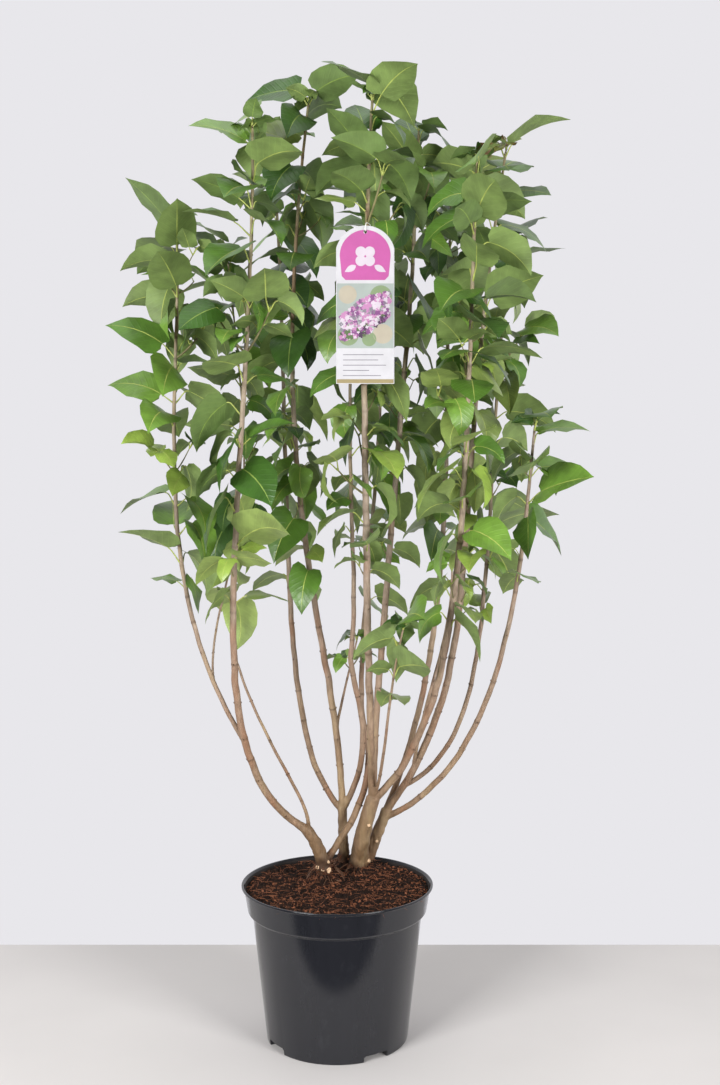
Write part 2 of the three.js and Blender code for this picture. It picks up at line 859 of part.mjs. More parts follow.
for (const { name, limb, leafy, leafLine, halfGap } of stems) {
  const steps = stepsFor(limb, 0, leafy, LIMB_STEP);
  const end = leafLine ? leafy - halfGap : leafy;
  const bough = limbSolid(limb, 0, end, LIMB_SIDES, steps);
  place(`bough_${name}`, asGeometry(cutClear(bough)), BARK_FINISH);
  takenSpace.push(limbSolid(limb, 0, leafy, LIMB_SIDES, steps, WOOD_GAP));
}

for (const stem of stems.filter((each) => each.leafLine)) {
  const { limb, leafy, halfGap } = stem;
  const steps = stepsFor(limb, leafy, 1, STEM_STEP, STEM_STEPS_LEAST);
  const { leaves, twigs } = grow(stem, stems);
  const mass = joined([
    limbSolid(limb, leafy + halfGap, 1, STEM_SIDES, steps),
    ...twigs.map(([root, tip]) => twigSolid(root, tip)),
    ...leaves.map(leafSolid),
  ]);
  place(`leaves_${stem.name}`, asGeometry(largestPiece(mass)), LEAF_FINISH);
}

place("tag", asGeometry(tagSolid()), TAG_FINISH);
place("tag_tie", asGeometry(tieSolid(stems[0])), TIE_FINISH);

export default bush;
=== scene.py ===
"""A many-stemmed lilac bush in leaf, standing in its nursery pot with a hang tag.

Each part of the plant has its own operator in the sidebar of the 3D view. The tables are in
millimetres and degrees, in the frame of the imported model: +Z up, +Y to the back, and the origin
under the middle of the pot. Meshes are made in metres.
"""

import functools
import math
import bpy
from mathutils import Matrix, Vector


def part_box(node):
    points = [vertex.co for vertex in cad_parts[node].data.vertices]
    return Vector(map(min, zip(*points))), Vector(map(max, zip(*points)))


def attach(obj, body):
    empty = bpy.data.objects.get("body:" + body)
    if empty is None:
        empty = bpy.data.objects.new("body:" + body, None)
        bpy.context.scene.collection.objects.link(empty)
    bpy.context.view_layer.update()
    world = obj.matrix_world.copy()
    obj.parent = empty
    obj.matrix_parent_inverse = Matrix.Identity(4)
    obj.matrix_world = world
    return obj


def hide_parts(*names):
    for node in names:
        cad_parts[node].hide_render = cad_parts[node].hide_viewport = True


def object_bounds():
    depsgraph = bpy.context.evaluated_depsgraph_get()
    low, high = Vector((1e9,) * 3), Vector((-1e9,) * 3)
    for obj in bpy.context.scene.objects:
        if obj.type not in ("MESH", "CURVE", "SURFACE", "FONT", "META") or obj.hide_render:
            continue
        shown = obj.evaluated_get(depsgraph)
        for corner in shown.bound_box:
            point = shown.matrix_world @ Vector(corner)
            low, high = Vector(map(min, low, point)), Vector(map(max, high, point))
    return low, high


bl_info = {
    "name": "Potted Lilac",
    "version": (1, 0, 0),
    "blender": (4, 5, 0),
    "location": "3D View > Sidebar > Lilac",
    "description": "Makes a lilac bush in leaf, its nursery pot, the compost and a hang tag",
    "category": "Object",
}

import bmesh
import bpy
import numpy as np
from bpy.props import FloatProperty, FloatVectorProperty, IntProperty, PointerProperty
from bpy.types import Operator, Panel, PropertyGroup
from mathutils import Matrix, Vector, noise
from mathutils.geometry import tessellate_polygon

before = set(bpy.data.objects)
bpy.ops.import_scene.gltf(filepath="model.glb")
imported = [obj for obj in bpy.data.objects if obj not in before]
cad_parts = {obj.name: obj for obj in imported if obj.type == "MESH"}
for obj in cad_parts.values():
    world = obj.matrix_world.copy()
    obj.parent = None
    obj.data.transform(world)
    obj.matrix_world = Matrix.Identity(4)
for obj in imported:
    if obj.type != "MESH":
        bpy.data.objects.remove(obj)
CAD_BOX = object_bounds()
MM = 0.001
REACH = np.array(CAD_BOX) / MM


def linear(red, green, blue):
    """Scene colour of a display colour given from 0 to 255."""
    shares = (red / 255, green / 255, blue / 255)
    return tuple(c / 12.92 if c <= 0.04045 else ((c + 0.055) / 1.055) ** 2.4 for c in shares)


def mix(low, high, share):
    return low + (high - low) * share


# Tables

POT = {
    "height": 259, "foot_radius": 118, "body_radius": 141.5, "collar_foot": 214,
    "collar_radius": 149.5, "rim_radius": 155.5, "lip_radius": 160, "wall": 2.5, "floor": 4,
    "foot_step": 15, "foot_step_radius": 92, "floor_step": 6, "sides": 144,
}
NOTCH = {"count": 4, "first": -57, "span": 22, "depth": 22, "height": 11}
COMPOST = {
    "top": 254, "edge_top": 252, "edge_radius": 152.2, "shoulder": 120, "gap": 0.6,
    "sides": 320,
}

TAG = {
    "width": 89, "height": 241, "thickness": 1, "arc_radius": 46, "centre": (46, -135, 1200.5),
    "hole_radius": 2.6, "hole_drop": 9.5,
}
TIE = {
    "radius": 0.6, "gap": 0.3, "stem_clear": 5, "stem_rise": 9, "before_hole": (0, -3, 0.2),
    "behind_hole": (0, 2.5, 0.2), "round_stem": ((-1, 0, 5), (0, 1, 10), (1, 0, 14)),
    "over_tag": ((2, -1, 13.5), (0, -3.5, 6.5)),
}

# name, path of the cubic, radii, flare, stubs: fraction of height, bearing, radius, length
TRUNKS = (
    ("trunk_left", ((-20, 38, 254), (-25, 32, 268), (-22, 11, 310), (-55, 10, 350)), (13.5, 9), 0.3,
     ((0.22, -62, 5.4, 19.5), (0.3, -128, 4, 18.5), (0.26, -95, 3.6, 18.5), (0.42, -45, 3.6, 15))),
    ("trunk_middle", ((35, 90, 254), (39, 80, 291), (38, 63, 314), (61, 60, 388)), (15.5, 12), 0.35,
     ((0.1, -28, 4.2, 22), (0.72, -62, 3.8, 16))),
    ("trunk_right", ((48, 106, 254), (55, 101, 288), (72, 96, 318), (84, 95, 358)), (11.5, 9), 0.3,
     ((0.45, -66, 3.2, 14),)),
    ("trunk_back", ((8, 108, 254), (11, 101, 288), (9, 96, 304), (7, 95, 362)), (9, 8), 0.3, ()),
)

# name, what it grows from and where, the rest of its path, radii, where its leaves begin, size
# and seed
STEMS = (
    ("centre_front", "trunk_middle", 0.97,
     ((48, -55, 790), (36, -121, 1148), (57, -120, 1515)), (6.2, 2), 0.3, 1, 20),
    ("left_front", "trunk_left", 0.97,
     ((-256, -29, 471), (-124, -124, 914), (-126, -131, 1470)), (6.3, 2), 0.46, 1, 70),
    ("left_middle", "trunk_back", 0.97,
     ((1, 62, 681), (-131, 29, 871), (-46, 19, 1550)), (5.8, 2), 0.42, 1, 33),
    ("right_middle", "trunk_right", 0.97,
     ((267, 66, 615), (179, 39, 829), (279, 29, 1475)), (6.2, 2), 0.42, 1, 3),
    ("centre_right", "trunk_middle", 0.97,
     ((76, 73, 775), (128, 80, 1148), (137, 80, 1520)), (5.7, 2), 0.33, 1, 20),
    ("right_front", "trunk_middle", 0.97,
     ((224, 3, 545), (197, -130, 909), (216, -142, 1418)), (6.2, 2), 0.4, 1, 61),
    ("far_right", "trunk_right", 0.86,
     ((297, 24, 450), (302, -35, 822), (322, -29, 1021)), (5.1, 2), 0.6, 1, 44),
    ("right_back", "trunk_right", 0.97,
     ((225, 189, 668), (185, 229, 1042), (203, 230, 1440)), (5.4, 2), 0.4, 1, 50),
    ("left_back", "trunk_back", 0.97,
     ((-123, 128, 469), (-78, 220, 947), (-119, 220, 1540)), (5.3, 2), 0.46, 1, 74),
    ("centre_left", "trunk_back", 0.97,
     ((82, 69, 486), (15, 60, 597), (22, 54, 638), (40, 37, 737), (6, 15, 972), (31, 9, 1294)),
     (5.2, 2), 0.64, 1, 37),
    ("centre_back", "trunk_left", 0.4,
     ((57, 78, 372), (61, 92, 443), (47, 107, 497), (19, 137, 603), (92, 217, 946),
      (80, 221, 1450)),
     (5.8, 2), 0.66, 1, 9),
    ("far_left", "left_front", 0.255,
     ((-317, -25, 770), (-251, -11, 1056), (-260, -10, 1350)), (3.9, 2), 0.27, 1, 14),
    ("right_rear", "right_middle", 0.06,
     ((297, 95, 477), (242, 147, 857), (303, 150, 1354)), (4.3, 2), 0.44, 1, 5),
    ("right_low", "right_middle", 0.1,
     ((143, 30, 563), (195, 5, 672), (190, 0, 794)), (2.9, 1.4), 0.55, 0.85, 64),
    ("centre_low", "trunk_middle", 0.97,
     ((84, 25, 447), (75, -71, 552), (107, -81, 696)), (2.8, 1.4), 0.6, 0.9, 44),
    ("back_low", "left_middle", 0.15,
     ((2, 84, 536), (8, 102, 552), (33, 105, 655)), (2.5, 1.4), 0.6, 0.7, 42),
    ("left_low", "far_left", 0.12,
     ((-225, 65, 652), (-192, 117, 746), (-171, 119, 863), (-152, 121, 968), (-176, 150, 1150),
      (-196, 162, 1330)), (1.9, 1.4), 0.26, 0.9, 59),
    ("left_bare", "trunk_left", 0.93,
     ((-43, 32, 390), (-130, 89, 468), (-176, 90, 620)), (2.9, 2.1), 1, 1, 3),
)

GROWTH = {
    "node_start": 20, "node_step": (54, 24), "keep": (0.62, 1), "twig_share": 0.1,
    "twig_below": 0.8, "twig_length": (38, 80), "twig_rise": (38, 58),
    "twig_leaves": ((-70, 0.9), (70, 0.9), (0, 0.75)), "bearing_spread": 18, "stalk": (22, 34),
    "stalk_rise": (28, 56), "top_rise": 20, "blade": (84, 110), "blade_width": (0.7, 0.86),
    "blade_pitch": (-30, 36), "top_pitch": 20, "blade_bend": (14, 58), "roll": 52, "yaw": 26,
    "fold": 17, "widest": 0.34,
}
YOUNG = {
    "seed": 500, "start": 14, "end": 8, "step": 0.8, "bearing": 45, "bearing_spread": 30,
    "scale": (0.45, 0.85), "turns": 5, "twig_share": 0.4, "twig_below": 0.9,
    "twig_length": (22, 52), "twig_rise": (30, 62), "twig_sides": (-80, 80, 0), "twig_clear": 4,
    "twig_scale": (0.42, 0.72), "twig_radius": 1.1, "middle_seed": 900, "middle": 0.55,
    "middle_share": 0.5, "middle_spread": 60, "middle_scale": (0.5, 0.72), "tip_seed": 990,
    "tip_scale": (0.3, 0.5), "tip_clear": 2, "tip_turns": 3,
}
TWIG_RADIUS = 1.7
TURNS = (0, 28, -28, 52, -52, 76, -76)
TURN_DROOP = 9
TURN_SHRINK = 0.05
SPACE_GAP = 3
LIMB_CLEAR = 7
LEAF_CLEAR = 7
YOUNG_CLEAR = 3.2
TOP_SHARE = 0.995
SOIL_CLEAR = 40
TAG_CLEAR = {"side": 6, "above": 18}
STALK_SHARES = (0.5, 0.75, 1)
FACET_CUTS = 4
TWIG_SHARES = (0.3, 0.5, 0.7, 0.9, 1)
SAMPLES = 28
FLARE_REACH = 0.16
STEM_TAPER = 2
TRUNK_START = -0.15
STUB_RISE = 20
BEND_STEP = 0.004

# Tones of the leaves, one to a leaf: name, display colour above, kind of underside and of rib.
# Deep and shade are darker copies of the green that paint shade, with darker undersides and ribs;
# the lighter tones paint light where they are dealt.
TONES = (
    ("deep", (44, 72, 26), "dull", "dark_rib"),
    ("shade", (59, 95, 32), "dull", "dark_rib"),
    ("mid", (84, 121, 44), "plain", "light_rib"),
    ("fresh", (110, 147, 58), "plain", "light_rib"),
    ("olive", (128, 148, 76), "plain", "light_rib"),
    ("young", (144, 170, 74), "bright", "light_rib"),
    ("scorched", (110, 114, 58), "burnt", "light_rib"),
)
UNDERSIDES = {
    "dull": (100, 124, 64), "plain": (116, 138, 74), "bright": (134, 154, 80),
    "burnt": (118, 134, 72),
}
RIBS = {"dark_rib": (136, 160, 76), "light_rib": (174, 188, 98)}
SCORCH = (96, 68, 44)


# Settings

def colour(name, description, shade):
    return FloatVectorProperty(
        name=name, description=description, subtype="COLOR", size=3, min=0, max=1,
        default=linear(*shade),
    )


def distance(name, description, metres):
    return FloatProperty(name=name, description=description, default=metres, unit="LENGTH")


def power(name, description, watts):
    return FloatProperty(name=name, description=description, default=watts, unit="POWER")


def fraction(name, description, part):
    return FloatProperty(name=name, description=description, default=part, min=0, max=1)


def amount(name, description, number):
    return FloatProperty(name=name, description=description, default=number, min=0)


class LilacStage(PropertyGroup):
    wall: colour("Wall", "Colour of the backdrop", (232, 231, 235))
    floor: colour("Floor", "Colour of the floor", (225, 221, 219))
    floor_depth: distance("Floor Depth", "How far the floor runs back from the pot's middle", 0.41)
    room: fraction("Room", "Brightness of the room in front against the backdrop", 0.04)
    # Where the dark sheet begins that paints a dark room's reflection into the pot's front.
    floor_front: distance("Dark Front", "Where the floor turns dark as the pot mirrors it", 0.27)
    key: power("Key", "Power of the large front light", 98)
    fill: power("Fill", "Power of the side light", 72)
    top: power("Top", "Power of the overhead light", 24)


class LilacPot(PropertyGroup):
    plastic: colour("Plastic", "Colour of the moulded pot", (34, 35, 40))
    # stain: the colour of the darker band on the pot's inner wall just above the compost
    stain: colour("Stain", "Colour of the soil that clings inside the rim", (30, 23, 20))
    scuff: colour("Scuffs", "Colour of the rubbed places", (80, 81, 86))
    wear: fraction("Wear", "How much of the pot is rubbed", 0.14)
    height: distance("Height", "Height of the lip above the floor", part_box("pot")[1].z)


class LilacCompost(PropertyGroup):
    peat: colour("Peat", "Colour of the damp peat", (40, 28, 23))
    coir: colour("Coir", "Colour of the coir", (116, 73, 52))
    crumbs: amount("Crumbs", "Crumbs to a square metre", 40000)
    fibres: amount("Fibres", "Fibres to a square metre", 6500)
    seed: IntProperty(name="Seed", description="Seed of the scatter", default=5)


class LilacBark(PropertyGroup):
    low: colour("Low", "Bark near the compost", (134, 106, 76))
    middle: colour("Middle", "Bark of the bare boughs", (156, 129, 105))
    high: colour("High", "Bark inside the crown", (172, 155, 140))
    tip: colour("Tip", "Bark of the youngest wood", (150, 146, 106))
    cut: colour("Cut Wood", "Wood of the cut stubs", (232, 196, 158))
    relief: distance("Relief", "Depth of the bark's furrows on the trunks", 1.3 * MM)
    pore: distance("Detail", "Voxel size of the trunks", 1.5 * MM)


class LilacFoliage(PropertyGroup):
    width: fraction("Width", "Breadth of a blade against its tested space", 0.98)
    ripple: distance("Ripple", "Height of the waves along a leaf's edge", 4.2 * MM)
    thickness: distance("Thickness", "Thickness of a blade", 0.5 * MM)
    infill: fraction("Young Leaves", "Share of the young shoots that grow", 0.34)


class LilacTag(PropertyGroup):
    card: colour("Card", "Colour of the card", (188, 187, 191))
    badge: colour("Badge", "Colour of the badge", (173, 83, 144))
    panel: colour("Panel", "Colour behind the blossoms", (150, 159, 154))
    lilac: colour("Lilac", "Colour of the darker blossoms", (121, 73, 121))
    pink: colour("Pink", "Colour of the paler blossoms", (175, 122, 162))
    edge: colour("Edge", "Colour of the bottom edge", (144, 131, 95))


class LilacSettings(PropertyGroup):
    stage: PointerProperty(type=LilacStage)
    pot: PointerProperty(type=LilacPot)
    compost: PointerProperty(type=LilacCompost)
    bark: PointerProperty(type=LilacBark)
    foliage: PointerProperty(type=LilacFoliage)
    tag: PointerProperty(type=LilacTag)


# Meshes

def link(name, data):
    """An object in the scene that holds a mesh, a light or a camera."""
    piece = bpy.data.objects.new(name, data)
    bpy.context.scene.collection.objects.link(piece)
    return piece


def shape(name, vertices, faces, edges=()):
    """An object from points in millimetres."""
    mesh = bpy.data.meshes.new(name)
    mesh.from_pydata([tuple(c * MM for c in v) for v in vertices], edges, faces)
    mesh.update()
    return link(name, mesh)


def from_work(name, work):
    """An object from an edit mesh, which is used up."""
    mesh = bpy.data.meshes.new(name)
    work.to_mesh(mesh)
    work.free()
    return link(name, mesh)


def give(piece, values):
    """Store point attributes: numbers, whole numbers or vectors."""
    for name, column in values.items():
        column = np.asarray(column)
        if column.ndim == 2:
            layer = piece.data.attributes.new(name, "FLOAT_VECTOR", "POINT")
            layer.data.foreach_set("vector", column.astype(np.float32).ravel())
        elif column.dtype.kind == "i":
            layer = piece.data.attributes.new(name, "INT", "POINT")
            layer.data.foreach_set("value", column.astype(np.int32))
        else:
            layer = piece.data.attributes.new(name, "FLOAT", "POINT")
            layer.data.foreach_set("value", column.astype(np.float32))


def evaluated(piece):
    depsgraph = bpy.context.evaluated_depsgraph_get()
    return bpy.data.meshes.new_from_object(
        piece.evaluated_get(depsgraph), preserve_all_data_layers=True, depsgraph=depsgraph)


def drop(piece):
    mesh = piece.data
    bpy.data.objects.remove(piece)
    bpy.data.meshes.remove(mesh)


def settle(piece):
    """Make a piece's modifiers part of its mesh."""
    mesh = evaluated(piece)
    piece.modifiers.clear()
    old = piece.data
    piece.data = mesh
    bpy.data.meshes.remove(old)
    mesh.name = piece.name
    return piece


def grown(name, source, tree, values):
    """The plain piece that a node tree makes from a source, which is used up."""
    modifier = source.modifiers.new(tree.name, "NODES")
    modifier.node_group = tree
    for item in tree.interface.items_tree:
        if item.item_type == "SOCKET" and item.in_out == "INPUT" and item.name in values:
            modifier[item.identifier] = values[item.name]
    mesh = evaluated(source)
    if not mesh.polygons:
        raise RuntimeError(f"{name}: the tree made no faces")
    source.modifiers.remove(modifier)
    drop(source)
    mesh.name = name
    return link(name, mesh)


def finished(piece, slot, *nodes):
    """Attach a piece to the root body and hide the solids that it stands for; the material slot
    given is not used.
    """
    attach(piece, "root")
    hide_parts(*nodes)


def smooth(piece, angle=35):
    piece.data.shade_smooth()
    piece.data.set_sharp_from_angle(angle=math.radians(angle))
    return piece


def lathe(profile, sides):
    """Rings of points round the Z axis; a profile that starts and ends on the axis is closed."""
    vertices, faces, rings = [], [], []
    for radius, height in profile:
        if radius < 1e-6:
            rings.append([len(vertices)] * sides)
            vertices.append((0, 0, height))
            continue
        rings.append(list(range(len(vertices), len(vertices) + sides)))
        for i in range(sides):
            angle = math.tau * i / sides
            vertices.append((radius * math.cos(angle), radius * math.sin(angle), height))
    for low, high in zip(rings, rings[1:]):
        for i in range(sides):
            j = (i + 1) % sides
            faces.append(list(dict.fromkeys((low[i], low[j], high[j], high[i]))))
    return vertices, faces


def eased(profile, steps=4):
    """A profile whose corners are cut back by their third number and bridged by a curve."""
    points = []
    for i, (radius, height, ease) in enumerate(profile):
        corner = np.array((radius, height), float)
        if not ease:
            points.append(tuple(corner))
            continue
        before = np.array(profile[i - 1][:2]) - corner
        after = np.array(profile[i + 1][:2]) - corner
        start = corner + before / np.linalg.norm(before) * ease
        end = corner + after / np.linalg.norm(after) * ease
        for k in range(steps + 1):
            t = k / steps
            points.append(tuple((1 - t) ** 2 * start + 2 * (1 - t) * t * corner + t * t * end))
    return points


def tube(points, radii, sides):
    """A closed tube of rings along points, capped flat at both ends."""
    points = np.asarray(points, float)
    ways = np.gradient(points, axis=0)
    ways /= np.linalg.norm(ways, axis=1)[:, None]
    vertices, faces = [], []
    for place, way, radius in zip(points, ways, radii):
        first = np.array((0, 1, 0)) - way * way[1]
        first /= np.linalg.norm(first)
        second = np.cross(way, first)
        for i in range(sides):
            angle = math.tau * i / sides
            vertices.append(place + radius * (math.cos(angle) * first + math.sin(angle) * second))
    for k in range(len(points) - 1):
        for i in range(sides):
            a, b = k * sides + i, k * sides + (i + 1) % sides
            faces.append((a, b, b + sides, a + sides))
    last = (len(points) - 1) * sides
    faces.append(tuple(reversed(range(sides))))
    faces.append(tuple(range(last, last + sides)))
    return vertices, faces


def joined(parts):
    """One list of vertices and faces from several."""
    vertices, faces = [], []
    for more, sides in parts:
        start = len(vertices)
        vertices.extend(more)
        faces.extend(tuple(start + i for i in side) for side in sides)
    return vertices, faces


def lines(name, runs):
    """An object of open polylines; each run is its points and a dict of columns for them."""
    vertices, edges, columns = [], [], {}
    for points, values in runs:
        start = len(vertices)
        vertices.extend(points)
        edges.extend((start + i, start + i + 1) for i in range(len(points) - 1))
        for key, column in values.items():
            columns.setdefault(key, []).extend(column)
    piece = shape(name, vertices, [], edges)
    give(piece, columns)
    return piece


# Node trees

class Graph:
    """Adds nodes to a tree and links them; an input is given a value or another node's socket."""

    def __init__(self, tree):
        self.tree = tree

    def add(self, kind, inputs=None, **settings):
        node = self.tree.nodes.new(kind)
        for name, value in settings.items():
            setattr(node, name, value)
        for key, value in (inputs or {}).items():
            self.put(node.inputs[key], value)
        return node

    def put(self, socket, value):
        if isinstance(value, bpy.types.NodeSocket):
            self.tree.links.new(value, socket)
        else:
            socket.default_value = value

    def math(self, operation, *values):
        return self.add("ShaderNodeMath", dict(enumerate(values)), operation=operation).outputs[0]

    def plus(self, *values):
        return functools.reduce(functools.partial(self.math, "ADD"), values)

    def times(self, *values):
        return functools.reduce(functools.partial(self.math, "MULTIPLY"), values)

    def minus(self, first, second):
        return self.math("SUBTRACT", first, second)

    def vector(self, operation, first, second):
        inputs = {0: first, 1: second}
        return self.add("ShaderNodeVectorMath", inputs, operation=operation).outputs[0]

    def scaled(self, vector, share):
        inputs = {0: vector, 3: share}
        return self.add("ShaderNodeVectorMath", inputs, operation="SCALE").outputs[0]

    def joined(self, *vectors):
        return functools.reduce(functools.partial(self.vector, "ADD"), vectors)

    def xyz(self, *values):
        return self.add("ShaderNodeCombineXYZ", dict(enumerate(values))).outputs[0]

    def split(self, vector):
        return self.add("ShaderNodeSeparateXYZ", {0: vector}).outputs

    def ranged(self, value, low, high, to_low=0.0, to_high=1.0):
        inputs = {0: value, 1: low, 2: high, 3: to_low, 4: to_high}
        return self.add("ShaderNodeMapRange", inputs).outputs[0]

    def grain(self, where, scale, detail=3.0, roughness=0.55):
        inputs = {"Vector": where, "Scale": scale, "Detail": detail, "Roughness": roughness}
        return self.add("ShaderNodeTexNoise", inputs).outputs[0]

    # For geometry

    def read(self, name, kind="FLOAT"):
        node = self.add("GeometryNodeInputNamedAttribute", {"Name": name}, data_type=kind)
        return node.outputs[0]

    def equal(self, value, number):
        inputs = {2: value, 3: number}
        node = self.add("FunctionNodeCompare", inputs, data_type="INT", operation="EQUAL")
        return node.outputs[0]

    def both(self, first, second):
        inputs = {0: first, 1: second}
        return self.add("FunctionNodeBooleanMath", inputs, operation="AND").outputs[0]

    def random_vector(self, low, high, seed):
        """A random vector for each element."""
        inputs = {0: low, 1: high, "Seed": seed}
        return self.add("FunctionNodeRandomValue", inputs, data_type="FLOAT_VECTOR").outputs[0]

    def copies(self, points, single, **inputs):
        """Copies of one object's shape on points."""
        shape_of = self.add("GeometryNodeObjectInfo", {"Object": single}).outputs["Geometry"]
        inputs.update(Points=points, Instance=shape_of)
        return self.add("GeometryNodeInstanceOnPoints", inputs).outputs[0]

    def realized(self, geometry):
        return self.add("GeometryNodeRealizeInstances", {"Geometry": geometry}).outputs[0]

    def painted(self, geometry, material, where=True):
        inputs = {"Geometry": geometry, "Selection": where, "Material": material}
        return self.add("GeometryNodeSetMaterial", inputs).outputs[0]

    # For materials

    def place(self, stretch=(1, 1, 1)):
        """Object coordinates, stretched."""
        where = self.add("ShaderNodeTexCoord").outputs["Object"]
        return self.add("ShaderNodeMapping", {"Vector": where, "Scale": stretch}).outputs[0]

    def ramp(self, value, *stops):
        node = self.add("ShaderNodeValToRGB", {0: value})
        elements = node.color_ramp.elements
        while len(elements) < len(stops):
            elements.new(1)
        for element, (position, shade) in zip(elements, stops):
            element.position = position
            element.color = (*shade, 1)
        return node.outputs[0]

    def blend(self, share, first, second):
        inputs = {0: share}
        for key, value in ((6, first), (7, second)):
            inputs[key] = value if isinstance(value, bpy.types.NodeSocket) else (*value, 1)
        return self.add("ShaderNodeMix", inputs, data_type="RGBA", blend_type="MIX").outputs[2]

    def mottled(self, shade, scale, dark, light, detail=3, spread=0.15):
        """A shade in clouds that go from dark to light, as shares of it."""
        cloud = self.grain(self.place(), scale, detail)
        cloud = self.ranged(cloud, 0.5 - spread, 0.5 + spread)
        return self.blend(cloud, darker(shade, dark), darker(shade, light))

    def bump(self, height, distance, strength=1.0, under=None):
        inputs = {"Height": height, "Distance": distance, "Strength": strength}
        if under is not None:
            inputs["Normal"] = under
        return self.add("ShaderNodeBump", inputs).outputs[0]

    def rough(self, scale, detail, distance, strength=1.0, stretch=(1, 1, 1)):
        """The relief of a fine even grain."""
        return self.bump(self.grain(self.place(stretch), scale, detail), distance, strength)


def geometry_tree(name, *inputs):
    """A geometry tree, its graph, its input sockets by name and its output socket."""
    tree = bpy.data.node_groups.new(name, "GeometryNodeTree")
    for label, kind in (("Geometry", "Geometry"), *inputs):
        tree.interface.new_socket(name=label, in_out="INPUT", socket_type=f"NodeSocket{kind}")
    tree.interface.new_socket(
        name="Geometry", in_out="OUTPUT", socket_type="NodeSocketGeometry")
    graph = Graph(tree)
    start = graph.add("NodeGroupInput")
    end = graph.add("NodeGroupOutput")
    return tree, graph, start.outputs, end.inputs[0]


def surface(name, build, roughness=0.5, specular=0.5):
    """A material; build says, by socket, what varies over the surface."""
    material = bpy.data.materials.new(name)
    material.use_nodes = True
    graph = Graph(material.node_tree)
    shader = material.node_tree.nodes["Principled BSDF"].inputs
    shader["Roughness"].default_value = roughness
    shader["Specular IOR Level"].default_value = specular
    for socket, value in build(graph).items():
        graph.put(shader[socket], value)
    return material


def wear_material(piece, material):
    piece.data.materials.clear()
    piece.data.materials.append(material)
    return piece


def darker(shade, share):
    """A shade at a share of its brightness, which may be more than 1."""
    return tuple(min(1.0, c * share) for c in shade)


# Materials

# The pot's inner wall turns darker in a band just above the compost, between the band's foot and
# its top line, where the distance from the axis is under INNER_FOOT plus SLOPE times the height. In
# metres.
SLOPE = 0.1734
INNER_FOOT = 0.11015
DARK_BAND_TOP = (0.2597, 0.2578)
DARK_BAND_FOOT = 0.2225


def pot_plastic(settings):
    """Scuffed satin plastic, darker in a band on the inner wall just above the compost."""

    def build(graph):
        streaks = graph.grain(graph.place((1, 1, 0.08)), 34, 4)
        rubbed = graph.grain(graph.place((1, 1, 0.5)), 70, 7, 0.7)
        rubbed = graph.ranged(rubbed, 0.56, 0.78)
        tone = graph.blend(
            graph.ranged(streaks, 0.35, 0.7), darker(settings.plastic, 0.86), settings.plastic)
        tone = graph.blend(graph.times(rubbed, settings.wear), tone, settings.scuff)
        x, y, height = graph.split(graph.place())
        radius = graph.math("SQRT", graph.plus(graph.times(x, x), graph.times(y, y)))
        inner = graph.math(
            "LESS_THAN", graph.minus(radius, graph.times(height, SLOPE)), INNER_FOOT)
        under = graph.ranged(graph.plus(height, graph.times(rubbed, 0.002)), *DARK_BAND_TOP)
        over = graph.math("GREATER_THAN", height, DARK_BAND_FOOT)
        dark_band = graph.times(inner, under, over, 0.9)
        gloss = graph.ranged(streaks, 0.3, 0.7, 0.085, 0.15)
        fine = graph.rough(900, 2, 0.0002, 0.35)
        return {
            "Base Color": graph.blend(dark_band, tone, settings.stain),
            "Roughness": graph.math("MAXIMUM", gloss, dark_band),
            "Normal": graph.bump(streaks, 0.0004, 0.15, fine),
        }

    return surface("charcoal_plastic", build, specular=0.53)


def soil(settings):
    def build(graph):
        lumps = graph.grain(graph.place(), 130, 8, 0.7)
        patches = graph.ranged(graph.grain(graph.place(), 22, 4), 0.42, 0.75, 0, 0.6)
        tone = graph.ramp(
            lumps, (0.3, darker(settings.peat, 0.35)), (0.5, darker(settings.peat, 0.8)),
            (0.7, settings.coir),
        )
        relief = graph.bump(graph.grain(graph.place(), 380, 6, 0.7), 0.003)
        return {
            "Base Color": graph.blend(patches, tone, darker(settings.peat, 0.7)),
            "Normal": relief,
        }

    return surface("damp_peat", build, 1.0, 0.2)


def crumb(name, shade):
    def build(graph):
        return {
            "Base Color": graph.mottled(shade, 240, 0.6, 1.3, 4),
            "Normal": graph.rough(900, 3, 0.0008),
        }

    return surface(name, build, 0.95, 0.2)


